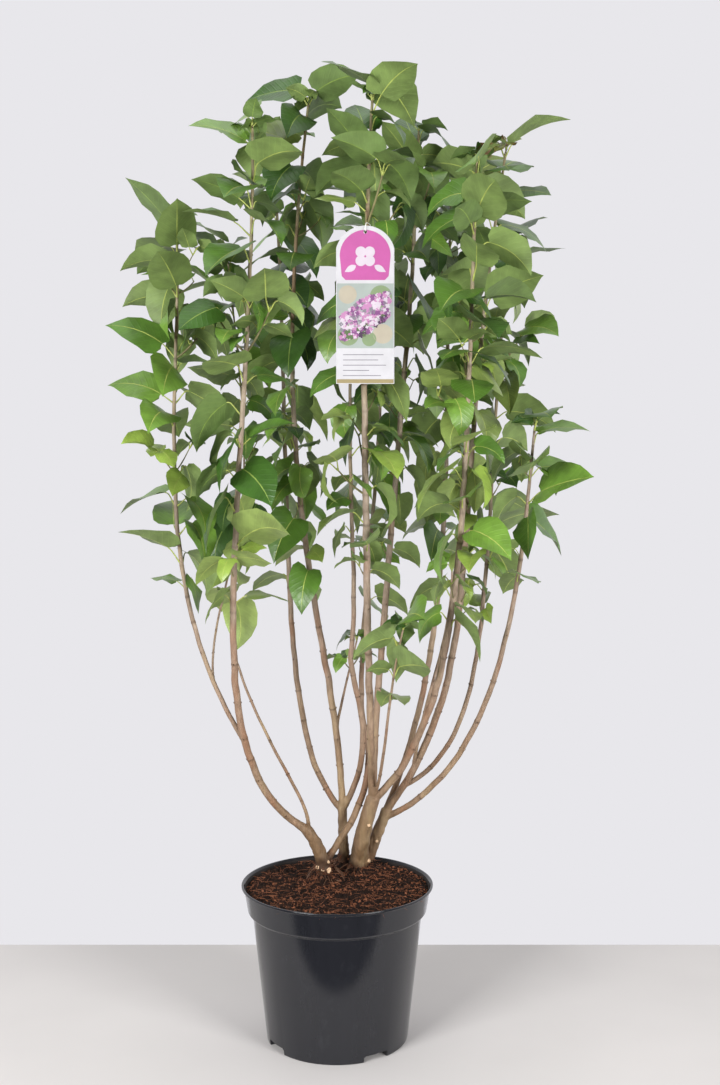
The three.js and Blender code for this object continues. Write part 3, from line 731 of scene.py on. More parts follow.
def bark(name, settings, fissures):
    """Bark that changes with height; fissures is how strongly it is furrowed."""

    def build(graph):
        x, _, height = graph.split(graph.place())
        stain = graph.grain(graph.place((1, 1, 0.3)), 26, 4)
        rise = graph.plus(height, graph.ranged(stain, 0.3, 0.7, -0.09, 0.09))
        age = graph.ramp(
            graph.ranged(rise, 0.25, 1.55), (0.0, settings.low), (0.13, settings.middle),
            (0.5, settings.high), (1.0, settings.tip),
        )
        furrows = graph.grain(graph.place((1, 1, 0.16)), 210, 6, 0.65)
        deep = graph.blend(0.34, age, (0.06, 0.036, 0.022))
        tone = graph.blend(graph.ranged(furrows, 0.36, 0.6), deep, age)
        cells = graph.add(
            "ShaderNodeTexVoronoi", {"Vector": graph.place((1, 1, 0.6)), "Scale": 210.0})
        pores = graph.ranged(cells.outputs[0], 0.1, 0.18, 0.2, 0)
        blots = graph.grain(graph.place((1, 1, 0.7)), 62, 3, 0.6)
        mottle = graph.grain(graph.place((1, 1, 0.55)), 88, 5, 0.62)
        mottle = graph.times(graph.ranged(mottle, 0.36, 0.64), 0.25 + 0.25 * fissures)
        flush = graph.grain(graph.place((1, 1, 0.22)), 31, 3)
        ring = graph.add("ShaderNodeAttribute", attribute_name="ring").outputs["Fac"]
        line = graph.plus(
            graph.ranged(x, -0.01, 0.025, 0.296, 0.266),
            graph.ranged(stain, 0.3, 0.7, -0.01, 0.01))
        dirt = graph.ranged(graph.minus(height, line), -0.006, 0.006, 0.85, 0)
        for share, shade in (
            (pores, darker(settings.middle, 1.3)),
            (graph.ranged(blots, 0.58, 0.74, 0, 0.45), darker(settings.low, 0.42)),
            (mottle, darker(settings.low, 0.5)),
            (graph.ranged(flush, 0.54, 0.7, 0, 0.5), linear(138, 92, 64)),
            (graph.ranged(flush, 0.46, 0.3, 0, 0.45), linear(176, 154, 116)),
            (graph.times(ring, 0.62), darker(settings.low, 0.26)),
            (dirt, linear(66, 45, 34)),
        ):
            tone = graph.blend(share, tone, shade)
        raised = graph.bump(pores, 0.0004, 0.5)
        return {
            "Base Color": tone,
            "Roughness": graph.ranged(stain, 0.3, 0.7, 0.5, 0.75),
            "Normal": graph.bump(furrows, 0.0009 * fissures, 0.6, raised),
        }

    return surface(name, build, specular=0.35)


def cut_wood(settings):
    def build(graph):
        inputs = {"Vector": graph.place(), "Scale": 160.0, "Distortion": 3.0, "Detail": 3.0}
        rings = graph.add("ShaderNodeTexWave", inputs, wave_type="RINGS").outputs[1]
        return {
            "Base Color": graph.blend(rings, darker(settings.cut, 0.78), settings.cut),
            "Normal": graph.bump(rings, 0.0003, 0.4),
        }

    return surface("cut_wood", build, 0.8)


def leaf_surface(name, shade, roughness, veins, burnt=False):
    """Leaf skin with faint side veins that rise from the rib; a burnt one browns at its edge."""
    base = linear(*shade)

    def build(graph):
        across, along, _ = graph.split(graph.add("ShaderNodeUVMap", uv_map="UVMap").outputs[0])
        reach = graph.math("ABSOLUTE", graph.minus(across, 0.5))
        phase = graph.minus(graph.times(along, 8.0), graph.times(reach, 5.0))
        vein = graph.math("ABSOLUTE", graph.math("SINE", graph.times(phase, math.pi)))
        tone = graph.mottled(base, 34, 0.8, 1.18)
        tone = graph.blend(graph.ranged(vein, 0.02, 0.16, 0.32, 0), tone, darker(base, 1.55))
        if burnt:
            patch = graph.plus(graph.grain(graph.place(), 30, 4), reach)
            patch = graph.ranged(patch, 0.7, 0.82, 0, 0.85)
            tone = graph.blend(patch, tone, linear(116, 76, 50))
        skin = graph.rough(700, 2, 0.0003, 0.4)
        return {
            "Base Color": tone,
            "Normal": graph.bump(graph.ranged(vein, 0.0, 0.5), 0.0006, veins, skin),
        }

    return surface(name, build, roughness, 0.62)


def stalk_skin(name, shade):
    def build(graph):
        return {
            "Base Color": graph.mottled(linear(*shade), 60, 0.75, 1.15),
            "Normal": graph.rough(900, 2, 0.0003, 0.5, (1, 1, 0.2)),
        }

    return surface(name, build)


def print_ink(name, shade, roughness=0.4):
    def build(graph):
        return {
            "Base Color": graph.mottled(shade, 45, 0.94, 1.04, spread=0.2),
            "Normal": graph.rough(1200, 2, 0.0001, 0.2),
        }

    return surface(name, build, roughness)


# Growth

def random_from(seed):
    """A small seeded generator of numbers from 0 to 1."""
    state = (seed * 2654435761) & 0xFFFFFFFF

    def draw():
        nonlocal state
        state = (state * 1664525 + 1013904223) & 0xFFFFFFFF
        return (state >> 8) / 16777216

    return draw


def heading(bearing):
    return np.array((math.cos(math.radians(bearing)), math.sin(math.radians(bearing)), 0.0))


def tilted(bearing, rise):
    level = heading(bearing) * math.cos(math.radians(rise))
    return level + np.array((0, 0, math.sin(math.radians(rise))))


class Limb:
    """A tapering limb along one cubic curve, or two in a row."""

    def __init__(self, name, path, radii, flare=0.0, taper=1):
        self.name = name
        self.radii = radii
        self.flare = flare
        self.taper = taper
        points = np.array(path, float)
        self.pieces = np.array([points[i:i + 4] for i in range(0, len(points) - 3, 3)])
        count = len(self.pieces)
        runs = [self.places(np.linspace(k, k + 1, 201) / count, k) for k in range(count)]
        self.length = sum(np.linalg.norm(np.diff(run, axis=0), axis=1).sum() for run in runs)

    def places(self, shares, piece=None):
        shares = np.atleast_1d(np.asarray(shares, float)) * len(self.pieces)
        k = np.clip(np.floor(shares), 0, len(self.pieces) - 1).astype(int)
        if piece is not None:
            k[:] = piece
        u = (shares - k)[:, None]
        p = self.pieces[k]
        return ((1 - u) ** 3 * p[:, 0] + 3 * (1 - u) ** 2 * u * p[:, 1]
                + 3 * (1 - u) * u * u * p[:, 2] + u ** 3 * p[:, 3])

    def place(self, share):
        return self.places(share)[0]

    def way(self, share):
        chord = self.place(share + BEND_STEP) - self.place(share - BEND_STEP)
        return chord / np.linalg.norm(chord)

    def radius(self, share):
        share = np.asarray(share)
        swell = 1 + self.flare * np.exp(-share / FLARE_REACH)
        return mix(*self.radii, share ** self.taper) * swell


class Stem(Limb):
    """A limb with the fraction where its leaves begin, their size and its seed."""

    def __init__(self, name, path, radii, leafy, size, seed):
        super().__init__(name, path, radii, taper=STEM_TAPER)
        self.leafy = leafy
        self.size = size
        self.seed = seed
        line = self.places(mix(leafy, 1, np.arange(SAMPLES + 1) / SAMPLES))
        self.wood = list(zip(line, line[1:]))
        self.leaves = []
        self.twigs = []
        self.nodes = []


def segments(limb, start, end):
    """Starts and spans of the chords along a limb, and its radius at each start."""
    shares = mix(start, end, np.arange(SAMPLES + 1) / SAMPLES)
    places = limb.places(shares)
    return places[:-1], np.diff(places, axis=0), limb.radius(shares[:-1])


def gaps(points, starts, spans):
    """Distance of each point from each chord."""
    away = points[:, None] - starts
    along = (away * spans).sum(-1) / (spans * spans).sum(-1)
    away = away - np.clip(along, 0, 1)[..., None] * spans
    return np.sqrt((away * away).sum(-1))


class Space:
    """The room that every stem's leaves keep to."""

    def __init__(self, stems):
        bare = [segments(stem, 0, stem.leafy) for stem in stems]
        self.bare = [np.concatenate(column) for column in zip(*bare)]
        self.leafy = [stem for stem in stems if stem.leafy < 1]
        lines_of = [segments(stem, stem.leafy, 1) for stem in self.leafy]
        self.starts = np.concatenate([line[0] for line in lines_of])
        self.spans = np.concatenate([line[1] for line in lines_of])

    def takes(self, points, own, clear=LIMB_CLEAR, inside=False):
        if inside and ((points < REACH[0]) | (points > REACH[1])).any():
            return False
        x, y, z = TAG["centre"]
        side, above = TAG_CLEAR["side"], TAG_CLEAR["above"]
        beside = np.abs(points[:, 0] - x) > TAG["width"] / 2 + side
        over = points[:, 2] > z + TAG["height"] / 2 + above
        under = points[:, 2] < z - TAG["height"] / 2 - side
        if (~beside & ~over & ~under & (points[:, 1] < y + side)).any():
            return False
        if (points[:, 2] < POT["height"] + SOIL_CLEAR).any():
            return False
        starts, spans, radii = self.bare
        if (gaps(points, starts, spans) - radii < clear).any():
            return False
        away = gaps(points, self.starts, self.spans)
        away = away.reshape(len(points), len(self.leafy), SAMPLES).min(-1)
        home = self.leafy.index(own)
        others = np.delete(away, home, axis=1)
        return not (others < away[:, home, None] + SPACE_GAP).any()


def draw_leaf(random, height):
    g = GROWTH
    near_top = height ** 4
    return {
        "stalk": mix(*g["stalk"], random()),
        "rise": mix(*g["stalk_rise"], random()) + g["top_rise"] * near_top,
        "blade": mix(*g["blade"], random()),
        "width": mix(*g["blade_width"], random()),
        "pitch": mix(*g["blade_pitch"], random()) + g["top_pitch"] * near_top,
        "bend": mix(*g["blade_bend"], random()),
        "roll": mix(-g["roll"], g["roll"], random()),
        "yaw": mix(-g["yaw"], g["yaw"], random()),
    }


def lay_leaf(root, root_radius, bearing, draw, size, turn):
    """A leaf's stalk and blade, and the corners that its room is tested by."""
    scale = size * (1 - TURN_SHRINK * turn)
    turned = bearing + TURNS[turn]
    stalk_way = tilted(turned, draw["rise"])
    foot = root + stalk_way * (root_radius + draw["stalk"] * scale)
    bearing = turned + draw["yaw"]
    length = draw["blade"] * scale
    bend = math.radians(draw["bend"] + TURN_DROOP * turn)
    pitch = math.radians(draw["pitch"] - TURN_DROOP * turn)
    along = heading(bearing)

    def midrib(share):
        angle = pitch - bend * share
        out = length / bend * (math.sin(pitch) - math.sin(angle))
        up = length / bend * (math.cos(angle) - math.cos(pitch))
        return foot + along * out + np.array((0, 0, up))

    widest = midrib(GROWTH["widest"])
    way = tilted(bearing, math.degrees(pitch - bend * GROWTH["widest"]))
    roll = math.radians(draw["roll"])
    level = heading(bearing + 90)
    side = level * math.cos(roll) + np.cross(way, level) * math.sin(roll)
    face = -np.cross(side, way)
    half = length * draw["width"] / 2
    fold = math.radians(GROWTH["fold"])
    left, right = (
        widest + side * sign * half * math.cos(fold) + face * half * math.sin(fold)
        for sign in (1, -1)
    )
    tip = midrib(1)
    return {
        "root": root, "root_radius": root_radius, "stalk_way": stalk_way, "foot": foot,
        "widest": widest, "tip": tip, "bearing": math.radians(bearing), "length": length,
        "bend": bend, "pitch": pitch, "roll": roll, "half": half,
        "facets": np.array([(end, edge, widest) for end in (foot, tip) for edge in (left, right)]),
        "edges": np.array([
            (root, foot), (foot, left), (foot, right), (foot, widest), (left, tip), (right, tip),
            (widest, tip), (left, widest), (right, widest),
        ]),
    }


FACET_SHARES = np.array([
    (i / FACET_CUTS, j / FACET_CUTS, 1 - (i + j) / FACET_CUTS)
    for i in range(FACET_CUTS + 1) for j in range(FACET_CUTS + 1 - i)
])


def spread(leaf):
    """Points over the stalk and the blade's four facets."""
    stalk = [mix(leaf["root"], leaf["foot"], share)[None] for share in STALK_SHARES]
    return np.concatenate(stalk + [FACET_SHARES @ facet for facet in leaf["facets"]])


def pierces(lines, facets):
    """Whether any of the lines passes through any of the facets."""
    starts, corners = lines[:, None, 0], facets[None, :, 0]
    ways = lines[:, None, 1] - starts
    first, second = facets[None, :, 1] - corners, facets[None, :, 2] - corners
    normals = np.cross(first, second)
    away = starts - corners
    slope = (ways * normals).sum(-1)
    side = np.sign(slope)
    slope = np.abs(slope)
    u = side * (ways * np.cross(away, second)).sum(-1)
    v = side * (ways * np.cross(first, away)).sum(-1)
    depth = -side * (away * normals).sum(-1)
    met = (slope > 0) & (u >= 0) & (v >= 0) & (u + v <= slope) & (depth >= 0) & (depth < slope)
    return bool(met.any())


def clear_of(leaf, stem, least):
    """Whether a leaf cuts through no twig, stem or leaf of its mass; only the stalks may meet."""
    if pierces(np.array(stem.wood), leaf["facets"]):
        return False
    blade = leaf["points"][len(STALK_SHARES) - 1:]
    for other in stem.leaves:
        if np.linalg.norm(other["middle"] - leaf["middle"]) > other["span"] + leaf["span"] + least:
            continue
        away = blade[:, None] - other["points"][None, len(STALK_SHARES) - 1:]
        if (away * away).sum(-1).min() <= least * least:
            return False
        if pierces(leaf["edges"], other["facets"]) or pierces(other["edges"], leaf["facets"]):
            return False
    return True


def try_leaf(stem, space, root, radius, bearing, random, share, scale, clear=LEAF_CLEAR,
             turns=len(TURNS)):
    """Give a stem a leaf at the first turn where it finds room, if there is one."""
    draw = draw_leaf(random, share)
    young = clear < LEAF_CLEAR
    for turn in range(turns):
        leaf = lay_leaf(root, radius, bearing, draw, scale * stem.size, turn)
        leaf["points"] = spread(leaf)
        leaf["middle"] = (leaf["root"] + leaf["tip"]) / 2
        leaf["span"] = np.linalg.norm(leaf["points"] - leaf["middle"], axis=1).max()
        if space.takes(leaf["points"], stem, inside=young) and clear_of(leaf, stem, clear):
            leaf.update(share=share, scale=scale)
            stem.leaves.append(leaf)
            return


def try_twig(stem, space, root, end, clear=LIMB_CLEAR):
    """Whether a twig finds room; it is then wood that no later leaf may cut through."""
    if not space.takes(np.array([mix(root, end, share) for share in TWIG_SHARES]), stem, clear):
        return False
    if any(pierces(np.array([(root, end)]), leaf["facets"]) for leaf in stem.leaves):
        return False
    stem.wood.append((root, end))
    return True


def stations(stem, start, end, step):
    """Number, share of the leafy part, fraction of the stem, place and radius of each node."""
    leafy_length = stem.length * (1 - stem.leafy)
    along, node = start, 0
    while along < leafy_length - end:
        share = along / leafy_length
        at = mix(stem.leafy, 1, min(share, TOP_SHARE))
        yield node, share, at, stem.place(at), float(stem.radius(at))
        along += mix(*GROWTH["node_step"], share) * step
        node += 1


def grow(stem, space):
    """Pairs of leaves, or of twigs, at nodes that close up towards the tip."""
    g = GROWTH
    first_bearing = random_from(stem.seed)() * 180
    for node, share, at, root, radius in stations(stem, g["node_start"], 0, 1):
        stem.nodes.append(at)
        for way in (0, 1):
            random = random_from(stem.seed * 1000 + node * 2 + way)
            astray = mix(-g["bearing_spread"], g["bearing_spread"], random())
            bearing = first_bearing + node * 90 + way * 180 + astray
            kept = random() < mix(*g["keep"], share)
            branches = random() < g["twig_share"] and share < g["twig_below"]
            twig_way = tilted(bearing, mix(*g["twig_rise"], random()))
            twig_length = mix(*g["twig_length"], random()) * stem.size
            if not kept:
                continue
            if not branches:
                try_leaf(stem, space, root, radius, bearing, random, share, 1)
                continue
            end = root + twig_way * twig_length
            if not try_twig(stem, space, root, end):
                continue
            stem.twigs.append((root, end, TWIG_RADIUS))
            for aside, scale in g["twig_leaves"]:
                try_leaf(stem, space, end, 0, bearing + aside, random, share, scale)


def fill_in(stem, space, infill):
    """Young leaves and side shoots between the nodes, by the same rule at a smaller size."""
    y = YOUNG
    first_bearing = random_from(stem.seed)() * 180 + y["bearing"]

    def add(root, radius, bearing, random, share, sizes, clear=YOUNG_CLEAR, turns=y["turns"]):
        scale = mix(*sizes, random())
        try_leaf(stem, space, root, radius, bearing, random, share, scale, clear, turns)

    for root, end, _ in list(stem.twigs):
        random = random_from(stem.seed * 1000 + y["middle_seed"] + len(stem.leaves))
        middle = mix(root, end, y["middle"])
        for way in (0, 1):
            bearing = random() * y["middle_spread"] + 180 * way + first_bearing
            add(middle, 0, bearing, random, y["middle_share"], y["middle_scale"])
    start = GROWTH["node_start"] + y["start"]
    for node, share, _, root, radius in stations(stem, start, y["end"], y["step"]):
        for way in (0, 1):
            random = random_from(stem.seed * 1000 + y["seed"] + node * 2 + way)
            astray = mix(-y["bearing_spread"], y["bearing_spread"], random())
            bearing = first_bearing + node * 90 + way * 180 + astray
            if random() > infill:
                continue
            if random() >= y["twig_share"] or share >= y["twig_below"]:
                add(root, radius, bearing, random, share, y["scale"])
                continue
            length = mix(*y["twig_length"], random()) * stem.size
            end = root + tilted(bearing, mix(*y["twig_rise"], random())) * length
            if not try_twig(stem, space, root, end, y["twig_clear"]):
                continue
            before = len(stem.leaves)
            for aside in y["twig_sides"]:
                add(end, 0, bearing + aside, random, share, y["twig_scale"])
            if len(stem.leaves) > before:
                stem.twigs.append((root, end, y["twig_radius"]))
            else:
                stem.wood.pop()
    random = random_from(stem.seed * 1000 + y["tip_seed"])
    for way in (0, 90, 180, 270):
        add(stem.place(1.0), 0, first_bearing + way, random, 1, y["tip_scale"], y["tip_clear"],
            y["tip_turns"])


@functools.lru_cache(maxsize=None)
def plant(infill):
    """Every trunk and stem by name, with the leaves and twigs grown on the stems."""
    limbs = {name: Limb(name, path, radii, flare) for name, path, radii, flare, _ in TRUNKS}
    stems = []
    for name, parent, at, path, radii, leafy, size, seed in STEMS:
        foot = tuple(limbs[parent].place(at))
        stem = Stem(name, (foot, *path), radii, leafy, size, seed)
        limbs[name] = stem
        stems.append(stem)
    space = Space(stems)
    for stem in space.leafy:
        grow(stem, space)
    for stem in space.leafy:
        fill_in(stem, space, infill)
    return limbs, stems


# Stage

# name, place, what it shines at and the side of its square, in metres
LIGHTS = (
    ("key", (-1.8, -2.4, 1.5), (0.05, 0, 0.7), 1.3),
    ("fill", (2.0, -2.2, 1.2), (0, 0, 0.7), 1.1),
    ("top", (0, 0.1, 3.6), (0, 0, 0), 2.4),
)
CAMERA = {"place": (0.038, -2.118, 0.939), "dip": 2.97, "lens": 42.57, "sensor": 36, "reach": 100}
FLOOR_REACH = 5000
WALL_REACH = 6000
# Reach, height and shades of the dark sheet that paints a dark room's reflection into the pot.
DARK_REACH = 4000
DARK_HEIGHT = 1
DARK_SHADES = ((0.008, 0.008, 0.009), (0.014, 0.014, 0.015))


class Maker:
    """What the operators share: each makes its own part of the scene."""

    bl_options = {"REGISTER", "UNDO"}

    def execute(self, context):
        self.make(context.scene.lilac)
        return {"FINISHED"}


def sheet(name, reach, near, far, height, material):
    """A level sheet that reaches as far to both sides, from near to far along Y."""
    corners = ((-reach, near), (reach, near), (reach, far), (-reach, far))
    points = [(x, y, height) for x, y in corners]
    return wear_material(shape(name, points, [(0, 1, 2, 3)]), material)


def area_light(name, place, target, size, watts):
    light = bpy.data.lights.new(name, "AREA")
    light.shape = "SQUARE"
    light.size = size
    light.energy = watts
    lamp = link(name, light)
    lamp.location = place
    lamp.rotation_euler = (Vector(target) - Vector(place)).to_track_quat("-Z", "Y").to_euler()


class LILAC_OT_stage(Maker, Operator):
    """Lay the floor, set the lights and the backdrop's colour, and place the camera"""

    bl_idname = "lilac.stage"
    bl_label = "Stage"

    def make(self, lilac):
        settings = lilac.stage
        shade = tuple(settings.wall)
        far, near = settings.floor_depth / MM, -settings.floor_front / MM

        pale_floor = surface("pale_floor", lambda graph: {
            "Base Color": graph.mottled(settings.floor, 3, 0.97, 1.02, spread=0.2),
        }, 0.75, 0.3)
        floor = sheet("floor", FLOOR_REACH, -FLOOR_REACH, far, 0, pale_floor)
        wall_paint = surface("wall_paint", lambda graph: {
            "Base Color": (0, 0, 0, 1), "Emission Color": (*shade, 1), "Emission Strength": 1.0,
        }, 1.0, 0.0)
        beyond = sheet("wall_foot", FLOOR_REACH, far, WALL_REACH, 0, wall_paint)
        # A dark sheet over the floor in front of the pot that only glossy rays see: a painted
        # reflection of a dark room in the pot's front.
        dark_floor = surface("dark_floor", lambda graph: {
            "Base Color": graph.blend(graph.grain(graph.place(), 2, 2), *DARK_SHADES),
        }, 0.9, 0.1)
        dark = sheet("studio_floor", DARK_REACH, -FLOOR_REACH, near, DARK_HEIGHT, dark_floor)
        dark.visible_camera = dark.visible_diffuse = dark.visible_shadow = False

        world = bpy.data.worlds.new("studio")
        world.use_nodes = True
        room = Graph(world.node_tree)
        _, depth, height = room.split(room.add("ShaderNodeTexCoord").outputs["Generated"])
        lit = room.times(room.ranged(depth, -0.4, 0.5), room.ranged(height, 0.95, 0.6, 0.35, 1.0))
        room.put(world.node_tree.nodes["Background"].inputs["Color"],
                 room.blend(lit, darker(shade, settings.room), shade))
        scene = bpy.context.scene
        scene.world = world
        for name, place, target, size in LIGHTS:
            area_light(name, place, target, size, getattr(settings, name))

        camera = bpy.data.cameras.new("camera")
        camera.lens = CAMERA["lens"]
        camera.sensor_width = CAMERA["sensor"]
        camera.clip_end = CAMERA["reach"]
        scene.camera = link("camera", camera)
        scene.camera.location = CAMERA["place"]
        scene.camera.rotation_euler = (math.radians(90 - CAMERA["dip"]), 0, 0)
        scene.view_settings.view_transform = "Standard"


# Pot

NOTCH_BEVEL = 2.0
FOOT_WIDTH = mix(POT["foot_radius"], POT["body_radius"], POT["foot_step"] / POT["collar_foot"])


def pot_profile(height):
    """Radius, height and easing of each corner, up the outside and down the inside."""
    p = POT
    collar, wall = p["collar_foot"], p["wall"]
    return eased([
        (0, 0, 0),
        (p["foot_radius"], 0, 1.6),
        (p["body_radius"], collar - 3, 1.2),
        (p["collar_radius"] - 2.5, collar, 1.2),
        (p["collar_radius"], collar + 3, 1.2),
        (p["rim_radius"], height - 5, 1.0),
        (p["lip_radius"], height - 3.2, 0.9),
        (p["lip_radius"], height, 1.3),
        (p["lip_radius"] - 3.2, height, 1.0),
        (p["rim_radius"] - wall, height - 5, 1.2),
        (p["collar_radius"] - wall, collar + 8, 2),
        (p["body_radius"] - wall, collar, 2),
        (FOOT_WIDTH - wall, p["foot_step"], 2),
        (p["foot_step_radius"], p["foot_step"], 2),
        (p["foot_step_radius"] - p["floor_step"], p["floor"], 2),
        (0, p["floor"], 0),
    ])


def notch_cutter(number):
    """A box with eased upper edges that cuts one drainage notch from the foot."""
    width = 2 * POT["foot_radius"] * math.sin(math.radians(NOTCH["span"] / 2))
    bearing = math.radians(NOTCH["first"] + number * 360 / NOTCH["count"])
    place = Matrix.Rotation(bearing, 4, "Z") @ Matrix.Translation((0, -POT["foot_radius"], 0))
    box = Matrix.Diagonal((width, NOTCH["depth"] * 2, NOTCH["height"] * 2, 1))
    work = bmesh.new()
    bmesh.ops.create_cube(work, size=1, matrix=place @ box)
    edges = [e for e in work.edges if all(v.co.z > 0 for v in e.verts)]
    bmesh.ops.bevel(work, geom=edges, offset=NOTCH_BEVEL, segments=2, affect="EDGES")
    bmesh.ops.scale(work, vec=(MM, MM, MM), verts=work.verts)
    return from_work("notch", work)


class LILAC_OT_pot(Maker, Operator):
    """Turn the nursery pot with its collar, lip and drainage notches"""

    bl_idname = "lilac.pot"
    bl_label = "Pot"

    def make(self, lilac):
        pot = shape("pot_body", *lathe(pot_profile(lilac.pot.height / MM), POT["sides"]))
        cutters = [notch_cutter(number) for number in range(NOTCH["count"])]
        for cutter in cutters:
            cut = pot.modifiers.new("Notch", "BOOLEAN")
            cut.operation = "DIFFERENCE"
            cut.solver = "EXACT"
            cut.object = cutter
        settle(pot)
        for cutter in cutters:
            drop(cutter)
        wear_material(smooth(pot, 32), pot_plastic(lilac.pot))
        finished(pot, "pot", "pot")


# Compost

COMPOST_SKIN = 0.3
COMPOST_RINGS = {"count": 55, "step": 2.7, "inset": 1.2}
SINK = 1.2
LUMPS = ((3.0, 38, (0, 0, 0)), (1.8, 13, (7, 0, 0)), (2.4, 6.5, (0, 9, 0)))  # height, width, offset
MOUNDS = ((2.6, 0, 400), (5.5, 2, 60))  # height, where it starts to fall and how wide it falls
LEFT_MOUND = (8, 3, 80)
# FRESH thins the coir towards the back left, so that the darker peat left there paints shade on the
# compost.
FRESH = {"grain": 24, "least": -0.2, "far": 0.45, "slant": 0.5, "depth": 130}
LIE_FLAT = 0.28


def soil_height(x, y):
    """Height of the compost's top, which sinks towards the pot and rises round the trunks."""
    shoulder = COMPOST["shoulder"]
    ease = (math.hypot(x, y) - shoulder) / (COMPOST["edge_radius"] - shoulder)
    ease = max(0.0, min(1.0, ease))
    height = mix(COMPOST["top"], COMPOST["edge_top"], ease * ease) - SINK
    for rise, width, offset in LUMPS:
        height += rise * noise.noise(Vector((x, y, 0)) / width + Vector(offset))
    for name, path, radii, _, _ in TRUNKS:
        away = math.hypot(x - path[0][0], y - path[0][1]) - radii[0]
        mounds = (*MOUNDS, LEFT_MOUND) if name == "trunk_left" else MOUNDS
        for rise, start, width in mounds:
            height += rise * math.exp(-max(0.0, away - start) ** 2 / width)
    return height


def scatter_tree(name, flat):
    """Copies of one small shape strewn over a surface; flat ones keep lying down."""
    tree, graph, given, result = geometry_tree(
        name, ("Shape", "Object"), ("Density", "Float"), ("Smallest", "Vector"),
        ("Largest", "Vector"), ("Seed", "Int"), ("Material", "Material"),
    )
    points = graph.add("GeometryNodeDistributePointsOnFaces", {
        "Mesh": given["Geometry"], "Density": given["Density"], "Seed": given["Seed"],
    }).outputs["Points"]
    tip = LIE_FLAT if flat else math.pi
    turn = graph.random_vector((-tip, -tip, 0), (tip, tip, math.tau), 3)
    spin = graph.add("FunctionNodeEulerToRotation", {0: turn}).outputs[0]
    size = graph.random_vector(given["Smallest"], given["Largest"], 8)
    copies = graph.copies(points, given["Shape"], Rotation=spin, Scale=size)
    graph.put(result, graph.painted(graph.realized(copies), given["Material"]))
    return tree


def crumb_shape(name, seed, squash):
    """A lump of a few facets about one unit across, in millimetres."""
    work = bmesh.new()
    bmesh.ops.create_icosphere(work, subdivisions=1, radius=0.5)
    for vertex in work.verts:
        vertex.co *= 0.8 + 0.8 * noise.noise(vertex.co * 2.9 + Vector((seed, 0, 0)))
        vertex.co.z *= squash
    return from_work(name, work)


def fibre_shape():
    """A thin bent hair one unit long."""
    points = [
        (-0.5, 0, 0), (-0.25, 0.05, 0.05), (0.02, 0.03, 0.07), (0.27, -0.05, 0.04), (0.5, -0.14, 0),
    ]
    vertices, faces = tube(points, (0.006, 0.011, 0.012, 0.01, 0.004), 3)
    mesh = bpy.data.meshes.new("fibre")
    mesh.from_pydata([tuple(v) for v in vertices], [], faces)
    return link("fibre", mesh)


def strewn(name, ground, single, density, sizes, material, seed, flat=False):
    """Copies of a small shape strewn over some ground, given as points and faces, as one piece."""
    piece = grown(name, shape(name, *ground), scatter_tree(name, flat), {
        "Shape": single, "Density": density, "Smallest": sizes[0], "Largest": sizes[1],
        "Seed": seed, "Material": material,
    })
    piece.data.shade_smooth()
    finished(piece, "compost", "compost")


def compost_body():
    """The filled pot's compost: its points, its faces and the faces of its lumpy top."""
    p, c = POT, COMPOST
    wall, skin = p["wall"] + c["gap"], COMPOST_SKIN
    outer = c["edge_radius"] - COMPOST_RINGS["inset"]
    rings = [outer - k * COMPOST_RINGS["step"] for k in range(COMPOST_RINGS["count"])]
    vertices, faces = lathe([
        (0, p["floor"] + skin),
        (p["foot_step_radius"] - p["floor_step"] - skin, p["floor"] + skin),
        (p["foot_step_radius"] - skin, p["foot_step"] + skin),
        (FOOT_WIDTH - wall, p["foot_step"] + skin),
        (p["body_radius"] - wall, p["collar_foot"]),
        (p["collar_radius"] - wall, p["collar_foot"] + 8 + skin),
        *((radius, c["top"]) for radius in rings),
        (0, c["top"]),
    ], c["sides"])
    top = {i for i, vertex in enumerate(vertices) if vertex[2] == c["top"]}
    for i in top:
        x, y, _ = vertices[i]
        vertices[i] = (x, y, soil_height(x, y))
    return vertices, faces, [face for face in faces if top.issuperset(face)]


def is_fresh(corner):
    """Whether coir shows at a place on the compost: in patches, fewer at the back left, which
    paints shade there.
    """
    x, y, _ = corner
    least = FRESH["least"] + FRESH["far"] * max(0.0, y - FRESH["slant"] * x) / FRESH["depth"]
    return noise.noise(Vector((x, y, 60)) / FRESH["grain"]) > least


class LILAC_OT_compost(Maker, Operator):
    """Fill the pot with lumpy compost and strew crumbs, chips and fibres over it"""

    bl_idname = "lilac.compost"
    bl_label = "Compost"

    def make(self, lilac):
        settings = lilac.compost
        vertices, faces, crust = compost_body()
        bed = wear_material(smooth(shape("compost_bed", vertices, faces), 60), soil(settings))
        finished(bed, "compost", "compost")

        fresh = [face for face in crust if is_fresh(vertices[face[0]])]
        lump, chip = crumb_shape("lump", 2, 0.8), crumb_shape("chip", 11, 0.35)
        hair = fibre_shape()
        crumbs, coir = settings.crumbs, settings.coir
        kinds = (
            ("compost_crumbs", crust, lump, crumbs * 0.6,
             ((0.0025,) * 3, (0.011, 0.009, 0.007)), crumb("peat_crumbs", settings.peat)),
            ("compost_coir", fresh, lump, crumbs * 0.34,
             ((0.0022,) * 3, (0.0095, 0.0075, 0.006)), crumb("coir_crumbs", coir)),
            ("compost_chips", fresh, chip, crumbs * 0.12,
             ((0.005, 0.004, 0.003), (0.012, 0.009, 0.007)),
             crumb("bark_chips", darker(coir, 1.7))),
            ("compost_fibres", crust, hair, settings.fibres,
             ((0.012,) * 3, (0.036,) * 3), crumb("coir_fibres", darker(coir, 2.0))),
        )
        for k, (name, ground, single, density, sizes, material) in enumerate(kinds):
            strewn(name, (vertices, ground), single, density, sizes, material,
                   settings.seed + 1 + k, single is hair)
        for single in (lump, chip, hair):
            drop(single)


# Trunks

